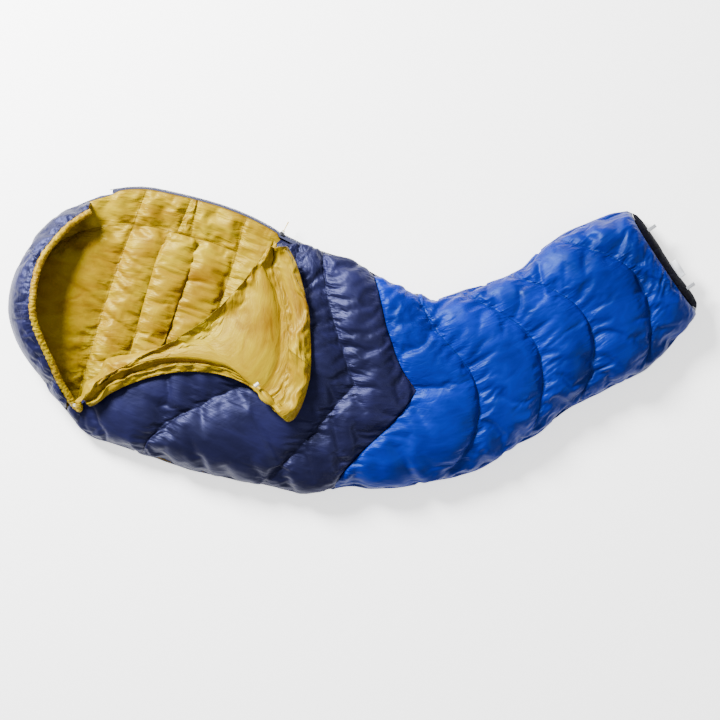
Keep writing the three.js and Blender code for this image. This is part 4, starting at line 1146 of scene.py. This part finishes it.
        def lining_place(w: Array, up: Array) -> Array:
            """Returns the lining's points, inside the gusset."""
            outside = place(w, up)
            centre = PLAN.point(np.full(len(w), 0.30), np.zeros(len(w)), outside[:, 2])
            deep = 0.020 * np.sin(np.clip(up, 0, 1) * np.pi * 0.9 + 0.15)
            return outside + unit(centre - outside) * deep[:, None]

        rows, columns = np.linspace(0, 1, 25), np.linspace(0, 1, 18)
        edges = dict(seam_rows=(0, 1), seam_columns=[(0.0,), (1.0,)], simulate=False)
        outer = QuiltedSheet(
            "hood_gusset_shell", rows, columns, place, puff=0.008, seed=27, flip=False, **edges)
        dress(outer.build(navy), Body.BAG)
        inner = QuiltedSheet(
            "hood_gusset_lining", rows, columns, lining_place, puff=0.006, seed=28, flip=True, **edges)
        dress(inner.build(yellow), Body.BAG)

    def _cord(self) -> None:
        """Builds the drawcord's free end, which passes through its lock and ends in a knot."""
        line = self.hem_line(np.array([0.0, 0.002]))
        lead = unit(line[0] - line[1])
        reach = np.linspace(0, self.cord_end, 24)
        path = line[0] + lead * reach[:, None]
        path[:, 2] -= 0.0012 * smooth((reach - 0.024) / 0.010)
        cord = tube("hood_drawcord_end", path, self.cord_radius, 12, gathers=0.0)
        cord.data.materials.append(DRAW_CORD.make())
        dress(cord, Body.BAG, ["hood_drawcord"])
        knot_turn = np.linspace(0, 1, 40)
        spin = knot_turn * 4 * np.pi
        side = unit(np.cross(lead, (0, 0, 1)))
        up = np.cross(side, lead)
        knot_path = path[-1] + lead * (-0.003 + 0.004 * knot_turn)[:, None] + 0.0019 * (
            np.cos(spin)[:, None] * side + np.sin(spin)[:, None] * up)
        knot = tube("drawcord_knot", knot_path, 0.0011, 8, gathers=0.0)
        knot.data.materials.append(cord.data.materials[0])
        dress(knot, Body.BAG)


def tube(
    name: str, path: Array, radius: float, sides: int, gathers: float = 0.0, seed: int = 1
) -> bpy.types.Object:
    """Returns a closed tube along a path, with its UV map in metres.

    Args:
        name: The piece's name.
        path: The points of its middle line.
        radius: Its radius.
        sides: How many sides its section has.
        gathers: How deep the gathers of its fabric are.
        seed: A number that makes its gathers its own.

    Returns:
        The piece.
    """
    bm = bmesh.new()
    bmesh.ops.create_grid(bm, x_segments=len(path) - 1, y_segments=sides, size=0.5)
    tangent = unit(np.gradient(path, axis=0))
    side = unit(np.cross(tangent, (0.0, 0.0, 1.0)))
    up = np.cross(side, tangent)
    at = np.concatenate([[0.0], np.cumsum(np.linalg.norm(np.diff(path, axis=0), axis=1))])
    uv = bm.loops.layers.uv.new("UVMap")
    spots = {}
    for vertex in bm.verts:
        i = round((vertex.co.x + 0.5) * (len(path) - 1))
        j = round((vertex.co.y + 0.5) * sides)
        spots[vertex] = (i, j)
    for face in bm.faces:
        for loop in face.loops:
            i, j = spots[loop.vert]
            loop[uv].uv = (at[i], j / sides * 2 * math.pi * radius)
    for vertex, (i, j) in spots.items():
        turn = 2 * math.pi * (j % sides) / sides
        spot = Vector((at[i] * 160 + seed, math.cos(turn) * 1.2, math.sin(turn) * 1.2))
        swell = gathers * noise.noise(spot)
        reach = radius + swell - 0.5 * gathers
        vertex.co = path[i] + side[i] * math.cos(turn) * reach + up[i] * math.sin(turn) * reach
    bmesh.ops.remove_doubles(bm, verts=bm.verts, dist=1e-6)
    bmesh.ops.holes_fill(bm, edges=[e for e in bm.edges if e.is_boundary])
    bmesh.ops.recalc_face_normals(bm, faces=bm.faces)
    piece = smooth_piece(bm, name)
    store_attribute(piece, "seam_gap", np.full(len(piece.data.vertices), TUBE_SEAM_GAP))
    return piece


# ---------------------------------------------------------------- the folded flap
@dataclass
class Flap:
    """The front panel folded back over the chest: shell, lining, draft tube and collar."""

    chin_at: float = 0.330
    chin_skew: float = 0.043
    chin_scoop: float = 0.1595
    tip_round: float = 0.045
    corner_at: float = 0.205
    edge_bow: float = 0.024
    corner_side: float = 1.03
    corner_share: float = 0.42
    end: float = 0.035
    panel_share: float = 0.84
    tube_width: float = 0.062
    collar_width: float = 0.056
    loft: float = 0.042
    roll_gap: float = -0.0020
    floor: float = 0.0030
    fold_loft: float = 0.026

    def layout(self, spots: Array) -> Array:
        """Returns where points of the closed bag's plan lie in the flap's own layout."""
        rel = spots - PLAN.fold_start
        return np.stack([rel @ PLAN.fold_along, -(rel @ PLAN.fold_away)], axis=-1)

    def zip_edge(self, t: Array, out: float = 0.0) -> Array:
        """Returns the flap's edge beside the zip, from the fold to its corner."""
        start, side = PLAN.fold_zip
        s = start + (self.corner_at - start) * t
        v = side + (self.corner_side - side) * t
        bow = self.edge_bow * np.sin(np.pi * np.clip(t, 0, 1))
        return self.layout(PLAN.point(s, v * PLAN.half_width(s) + out + bow, 0.0))

    def rim(self, a: Array) -> Array:
        """Returns the flap's rim with its corner rounded."""
        reach = self.tip_round * smooth(a / 0.2) * smooth((1 - a) / 0.2)
        return np.mean([self.cut_rim(a + reach * shift) for shift in np.linspace(-1, 1, 13)], axis=0)

    def cut_rim(self, a: Array) -> Array:
        """Returns the flap's rim from the zip end of the fold, past its corner, to the hood end."""
        beside_zip = self.zip_edge(np.clip(a / self.corner_share, 0, 1))
        width = PLAN.fold_hood[1] - self.corner_side
        v = self.corner_side + width * (a - self.corner_share) / (1 - self.corner_share)
        chin = self.chin_at + self.chin_skew * v - self.chin_scoop * v * v
        s = chin + (PLAN.fold_hood[0] - chin) * smooth((a - 0.9) / 0.1)
        chin_rim = self.layout(PLAN.point(s, v * PLAN.half_width(s), 0.0))
        return np.where((a <= self.corner_share)[:, None], beside_zip, chin_rim)

    def plan(self, a: Array, b: Array) -> Array:
        """Returns a place in the flap's layout: a along its fold, b from the fold to the rim."""
        fold = np.stack([a * PLAN.fold_length, PLAN.fold_clearance + PLAN.fold_bow(a)], axis=-1)
        return fold + (self.rim(a) - fold) * b[:, None]

    def reach(self, a: Array) -> Array:
        """Returns the distance from the fold to the rim."""
        across = self.plan(a, np.ones_like(a)) - self.plan(a, np.zeros_like(a))
        return np.maximum(np.linalg.norm(across, axis=1), 1e-3)

    def roll_start(self, a: Array) -> Array:
        """Returns the share of the reach at which the draft tube or the collar begins."""
        width = np.where(a <= self.corner_share, self.tube_width, self.collar_width)
        return np.maximum(0.4, 1 - width / self.reach(a))

    def lift(self, layout: Array, n: Array) -> Array:
        """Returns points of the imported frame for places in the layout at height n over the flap's plane."""
        along, away, up = PLAN.flap_axes()
        return PLAN.fold_start + layout[:, :1] * along + layout[:, 1:2] * away + np.asarray(n)[:, None] * up

    def over_shell(self, spots: Array) -> Array:
        """Returns the points with none sunk into the flap's shell."""
        up = PLAN.flap_axes()[2]
        height = (spots - PLAN.fold_start) @ up
        return spots + np.maximum(self.floor - height, 0)[:, None] * up

    def end_taper(self, a: Array) -> Array:
        """Returns 1 over the flap's length and 0 at its two ends."""
        return super_round(2 * (a - self.end / 2) / (1 - self.end) - 1, 6)

    def lining_place(self, a: Array, t: Array) -> Array:
        """Returns the lining's points at seam level."""
        panel = np.clip(t / self.panel_share, 0, 1)
        rim = np.clip((t - self.panel_share) / (1 - self.panel_share), 0, 1)
        b = panel * self.roll_start(a) + rim * (0.992 - self.roll_start(a))
        low = 0.0035 + self.loft * (1 - np.power(np.abs(2 * panel - 1), 2.6)) * self.end_taper(a)
        near_fold = self.fold_loft * np.exp(-panel / 0.09) * self.end_taper(a)
        return self.lift(self.plan(a, b), low + near_fold * (1 - rim))

    def shell_place(self, a: Array, b: Array) -> Array:
        """Returns the points of the shell, which lies underneath while the flap is open."""
        return self.lift(self.plan(a, b), np.full_like(a, 0.0004))

    def roll_place(
        self, first: float, last: float, height: float, out: float
    ) -> Callable[[Array, Array], Array]:
        """Returns the layout of a padded roll along the rim.

        Args:
            first: Where it begins along the rim.
            last: Where it ends.
            height: How high it stands at seam level.
            out: How far it stands out over the rim.

        Returns:
            A function of the place along it and the angle over it.
        """
        def place(a: Array, angle: Array) -> Array:
            """Returns the roll's points at seam level."""
            taper = np.maximum(super_round(2 * (a - first) / (last - first) - 1, 5), 0.05)
            start = self.plan(a, self.roll_start(a) - self.roll_gap / self.reach(a))
            stop = self.plan(a, np.ones_like(a))
            width = np.linalg.norm(stop - start, axis=1)
            across = unit(stop - start)
            stop = stop + across * out
            middle = (start + stop) / 2
            side, rise = np.sin(angle), np.power(np.maximum(np.cos(angle), 0), 0.8)
            half = (width + out) / 2 * (0.75 + 0.25 * taper)
            return self.lift(middle + across * (half * side)[:, None], 0.003 + height * rise * taper)

        return place

    def build(self) -> None:
        """Builds the flap's pieces."""
        navy = bpy.data.materials[NAVY.name]
        yellow = bpy.data.materials[YELLOW.name]
        ends = (self.end, 1 - self.end)
        rows = np.unique(np.concatenate([
            np.linspace(ends[0], self.corner_share, 44), np.linspace(self.corner_share, ends[1], 60)]))
        shell = QuiltedSheet(
            "flap_shell_quilted", rows[::2], spaced(0, 1, 40), self.shell_place, seam_rows=ends,
            seam_columns=[(0.0,), (1.0,)], puff=0.0, tuck_depth=0.15, simulate=False, subdivide=False,
            flip=False, thickness=0.001, seed=31)
        dress(shell.build(navy), Body.FLAP, ["flap_shell"])
        lining = QuiltedSheet(
            "flap_lining_quilted", rows, spaced(0, 1, 75), self.lining_place, seam_rows=ends,
            seam_columns=[(0.0,), (self.panel_share,), (1.0,)], puff=0.012,
            stuffing=Stuffing(4.0, 0.09, 0.024), flip=True, seed=33, limit=self.over_shell)
        piece = dress(lining.build(yellow), Body.FLAP, ["flap_liner", "flap_down"])
        over = np.radians(np.linspace(-90, 90, 19))
        zip_seams = (0.045, 0.16, 0.29, 0.435)
        tube_roll = QuiltedSheet(
            "draft_tube_quilted", rows_between(zip_seams, [0.15] * 3, 0.0065), over,
            self.roll_place(0.02, 0.46, 0.032, 0.019), seam_rows=(zip_seams[0], zip_seams[2], zip_seams[-1]),
            seam_columns=[(over[0],), (over[-1],)], puff=0.012, stuffing=Stuffing(4.0, 0.08, 0.022),
            flip=True, seed=35, limit=self.over_shell)
        dress(tube_roll.build(yellow), Body.FLAP, ["draft_tube"])
        chin_seams = (0.400, 0.60, 0.78, 0.965)
        collar = QuiltedSheet(
            "front_collar_quilted", rows_between(chin_seams, [0.15] * 3, 0.0065), over,
            self.roll_place(0.385, 0.985, 0.027, 0.006), seam_rows=(chin_seams[0], chin_seams[-1]),
            seam_columns=[(over[0],), (over[-1],)], puff=0.012, stuffing=Stuffing(4.0, 0.09, 0.022),
            flip=True, seed=37, limit=self.over_shell)
        dress(collar.build(yellow), Body.FLAP, ["front_collar"])
        self._fold_roll(yellow, navy)

    def _fold_roll(self, finish: bpy.types.Material, outside: bpy.types.Material) -> None:
        """Builds the soft crest where the cloth turns over the fold."""
        share = np.array([0.0, 0.08, 0.20, 0.40, 0.60, 0.80, 0.92, 1.0])
        crest_out = np.array([0.004, 0.005, 0.005, 0.006, 0.020, 0.046, 0.036, 0.010])
        radius = np.array([0.010, 0.022, 0.030, 0.036, 0.040, 0.040, 0.028, 0.010])
        middle = np.array([0.048, 0.066, 0.088, 0.094, 0.096, 0.096, 0.094, 0.092])

        def place(a: Array, angle: Array) -> Array:
            """Returns the crest's points at seam level."""
            r = np.interp(a, share, radius)
            out = np.interp(a, share, crest_out) - PLAN.fold_bow(a)
            height = np.interp(a, share, middle)
            away = r - out - r * np.cos(angle)
            axis = PLAN.fold_start + (a * PLAN.fold_length)[:, None] * PLAN.fold_along
            spots = axis + away[:, None] * PLAN.fold_away
            spots[:, 2] = height + (r - 0.006) * np.sin(angle)
            return spots

        over = np.radians(np.linspace(-90, 106, 34))
        sheet = QuiltedSheet(
            "fold_crest", spaced(0.0, 1.0, 88), over, place, seam_rows=(0.0, 1.0),
            seam_columns=[(over[0],), (over[-1],)], puff=0.008, stuffing=Stuffing(3.0, 0.10, 0.016),
            flip=True, seed=39)
        piece = sheet.build(finish)
        low, high = PLAN.fold_start.copy(), PLAN.fold_start.copy()
        low[2], high[2] = 0.0945, 0.0972
        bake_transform(piece)
        self._fold_chamber(outside)

    def _fold_chamber(self, finish: bpy.types.Material) -> None:
        """Builds the shell between the chest and the flap, folded flat while the flap is open."""
        first, last = 0.0935, 0.0985

        def place(a: Array, w: Array) -> Array:
            """Returns the folded shell's points."""
            axis = PLAN.fold_start + (a * PLAN.fold_length)[:, None] * PLAN.fold_along
            back = PLAN.fold_bow(a) + 0.011 + 0.003 * np.sin(np.pi * w)
            spots = axis + back[:, None] * PLAN.fold_away
            spots[:, 2] = first + (last - first) * w
            return spots

        sheet = QuiltedSheet(
            "fold_chamber_shell", spaced(0.05, 0.97, 80), spaced(0.0, 1.0, 18), place, puff=0.0,
            tuck_depth=0.12, simulate=False, subdivide=False, thickness=0.0006, flip=True, seed=40)
        piece = sheet.build(finish)
        low, high = PLAN.fold_start.copy(), PLAN.fold_start.copy()
        low[2], high[2] = first, last
        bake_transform(piece)
        LOG.info("%s: folded between bag and flap", piece.name)


# ---------------------------------------------------------------- the foot end and the small parts
@dataclass
class FootEnd:
    """The dark panel that closes the foot, with its webbing loops and blank label."""

    bulge: float = 0.020
    trim_height: float = 0.066
    loop_width: float = 0.010
    loop_reach: float = 0.030
    loop_side: float = 0.62
    webbing: float = 0.0011
    slot: float = 0.005
    label_size: Tuple[float, float] = (0.024, 0.052)
    label_side: float = -0.24

    def build(self) -> None:
        """Builds the panel, the loops and the label."""
        top, under = TopLayer(), UnderLayer()
        angles = round_columns(PLAN.top_power, 0.086, 0.19, 60)
        upper = top.place(np.full(len(angles), 7.9999), angles)
        v = round_section(angles, PLAN.top_power)[0]
        turn = np.sign(v) * np.arcsin(np.power(np.abs(np.clip(v, -1, 1)), PLAN.under_power / 2))
        lower = under.shell_place(np.full(len(angles), PLAN.length - 0.001), turn)
        along = PLAN.axes(np.array([PLAN.length]))[0][0]

        def place(w: Array, angle: Array) -> Array:
            """Returns the panel's points between its lower and its upper edge."""
            j = np.searchsorted(angles, angle - 1e-9)
            return lower[j] + (upper[j] - lower[j]) * w[:, None] + along * 0.0012

        panel = QuiltedSheet(
            "foot_panel_quilted", spaced(0, 1, 16), angles, place, seam_rows=(0, 1),
            seam_columns=[(angles[0],), (angles[-1],)], puff=self.bulge, simulate=False, flip=True, seed=41)
        piece = dress(panel.build(END_CLOTH.make()), Body.BAG, ["foot_end_panel"])
        webbing = WEBBING.make()
        loops = {"hang_loop_zip_side": self.loop_side, "hang_loop_closed_side": -self.loop_side}
        for name, side in loops.items():
            self._loop(f"{name}_webbing", side, webbing, name)
        self._label()

    def _root(self, side: float) -> Tuple[Array, Array, Array]:
        """Returns a trim's root on the panel and the directions out of the panel and across it."""
        along, across = (x[0] for x in PLAN.axes(np.array([PLAN.length])))
        root = PLAN.point(PLAN.length, side * PLAN.half_width(PLAN.length), self.trim_height)
        return root + along * 0.0015, along, across

    def _loop(self, name: str, side: float, finish: bpy.types.Material, node: str) -> None:
        """Builds one loop of folded webbing."""
        root, along, across = self._root(side)
        radius = self.slot / 2 + self.webbing / 2
        straight = self.loop_reach - radius - self.webbing / 2
        bend = np.linspace(-np.pi / 2, np.pi / 2, 13)
        x = np.concatenate([np.linspace(0, straight, 10)[:-1], straight + radius * np.cos(bend),
                            np.linspace(straight, 0, 10)[1:]])
        z = np.concatenate([np.full(9, -radius), radius * np.sin(bend), np.full(9, radius)])

        def place(i: Array, w: Array) -> Array:
            """Returns the webbing's points along its fold and across its width."""
            j = np.rint(i).astype(int)
            made = root + x[j][:, None] * along + (w * self.loop_width)[:, None] * across
            made[:, 2] += z[j] - 0.0016 * (x[j] / self.loop_reach) ** 2
            return made

        sheet = QuiltedSheet(
            name, np.arange(len(x), dtype=float), np.linspace(-0.5, 0.5, 7), place, puff=0.0, tuck_depth=0.0,
            simulate=False, subdivide=False, thickness=self.webbing, flip=True)
        piece = sheet.build(finish)
        piece.modifiers["fabric"].offset = 0
        dress(piece, Body.BAG, [node])

    def _label(self) -> None:
        """Builds the blank label, which droops a little."""
        root, along, across = self._root(self.label_side)
        deep, wide = self.label_size

        def place(x: Array, y: Array) -> Array:
            """Returns the label's points out of the panel and across it."""
            made = root + (x * deep)[:, None] * along + (y * wide)[:, None] * across
            made[:, 2] += 0.0035 * x * np.sin(y * 5.0 + 0.6) - 0.003 * x * x
            return made

        sheet = QuiltedSheet(
            "care_label_cloth", spaced(0, 1, 10), spaced(-0.5, 0.5, 20), place, puff=0.0, tuck_depth=0.0,
            simulate=False, subdivide=False, thickness=0.0006)
        piece = sheet.build(LABEL.make())
        dress(piece, Body.BAG, ["care_label"])


@dataclass
class SmallParts:
    """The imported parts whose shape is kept: zips, slider, pull, cord lock and toggle."""

    def build(self) -> None:
        """Gives each kept node its finish."""
        tape, coil, metal = ZIP_TAPE.make(), COIL_PLASTIC.make(), SLIDER_METAL.make()
        plastic, pull, steel = LOCK_PLASTIC.make(), PULL_CORD.make(), SPRING_STEEL.make()
        finishes = {
            "flap_zip_tape": tape, "back_zip_tape": tape, "front_zip_tape": tape, "flap_zip_coil": coil,
            "back_zip_coil": coil, "front_zip_coil": coil, "zip_stop_head": metal, "zip_stop_foot": metal,
            "slider_body": metal, "slider_pull": pull, "hood_cord_lock": plastic, "hood_lock_button": plastic,
            "collar_toggle": plastic, "hood_lock_spring": steel,
        }
        for name, finish in finishes.items():
            node = frame["nodes"][name]
            node.data.materials.clear()
            node.data.materials.append(finish)
            LOG.info("%s: kept, finished as %s", name, finish.name)


# ---------------------------------------------------------------- the studio
@dataclass
class Studio:
    """The plain pale floor, the soft lights and the camera overhead."""

    lens: float = 100.0
    sensor: float = 36.0
    view_width: float = 2.070
    view_centre: Tuple[float, float] = (0.026, -0.0575)
    floor_glow: float = 1.3
    room_light: float = 0.52

    def build(self) -> None:
        """Builds the floor, the lights and the camera."""
        bm = bmesh.new()
        bmesh.ops.create_grid(bm, x_segments=1, y_segments=1, size=14.0)
        mesh = bpy.data.meshes.new("studio_floor")
        bm.to_mesh(mesh)
        bm.free()
        floor = add_to_scene(bpy.data.objects.new("studio_floor", mesh))
        pale = Nodes("pale_floor")
        pale.shader.inputs["Base Color"].default_value = (0.94, 0.94, 0.94, 1.0)
        pale.shader.inputs["Roughness"].default_value = 0.95
        pale.shader.inputs["Emission Color"].default_value = (1.0, 1.0, 1.0, 1.0)
        pale.shader.inputs["Emission Strength"].default_value = self.floor_glow
        mesh.materials.append(pale.material)
        world = bpy.data.worlds.new("soft_room")
        bpy.context.scene.world = world
        world.use_nodes = True
        background = world.node_tree.nodes["Background"]
        background.inputs["Color"].default_value = (1.0, 1.0, 1.0, 1.0)
        background.inputs["Strength"].default_value = self.room_light
        self._lamp("key_light", (-2.5, 2.7, 2.5), 1.4, 1150.0)
        self._lamp("fill_light", (2.6, -1.4, 3.2), 2.4, 50.0)
        data = bpy.data.cameras.new("overhead")
        data.lens, data.sensor_width = self.lens, self.sensor
        data.dof.use_dof = False
        camera = bpy.data.objects.new("overhead", data)
        height = self.view_width * self.lens / self.sensor
        x, y = (c + float(d) for c, d in zip(self.view_centre, PLAN.shift))
        camera.location = (x, y, height)
        bpy.context.scene.camera = add_to_scene(camera)

    def _lamp(self, name: str, place: Tuple[float, float, float], size: float, power: float) -> None:
        """Adds one soft lamp that faces the bag."""
        data = bpy.data.lights.new(name, "AREA")
        data.shape, data.size, data.energy = "DISK", size, power
        lamp = bpy.data.objects.new(name, data)
        lamp.location = place
        lamp.rotation_mode = "QUATERNION"
        lamp.rotation_quaternion = (-Vector(place)).to_track_quat("-Z", "Y")
        add_to_scene(lamp)


def main() -> None:
    """Builds every piece in order."""
    logging.basicConfig(level=logging.INFO, format="%(message)s", stream=sys.stdout)
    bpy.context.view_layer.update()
    Studio().build()
    TopLayer().build()
    UnderLayer().build()
    RoofLining().build()
    Hood().build()
    Flap().build()
    FootEnd().build()
    SmallParts().build()


if __name__ == "__main__":
    main()
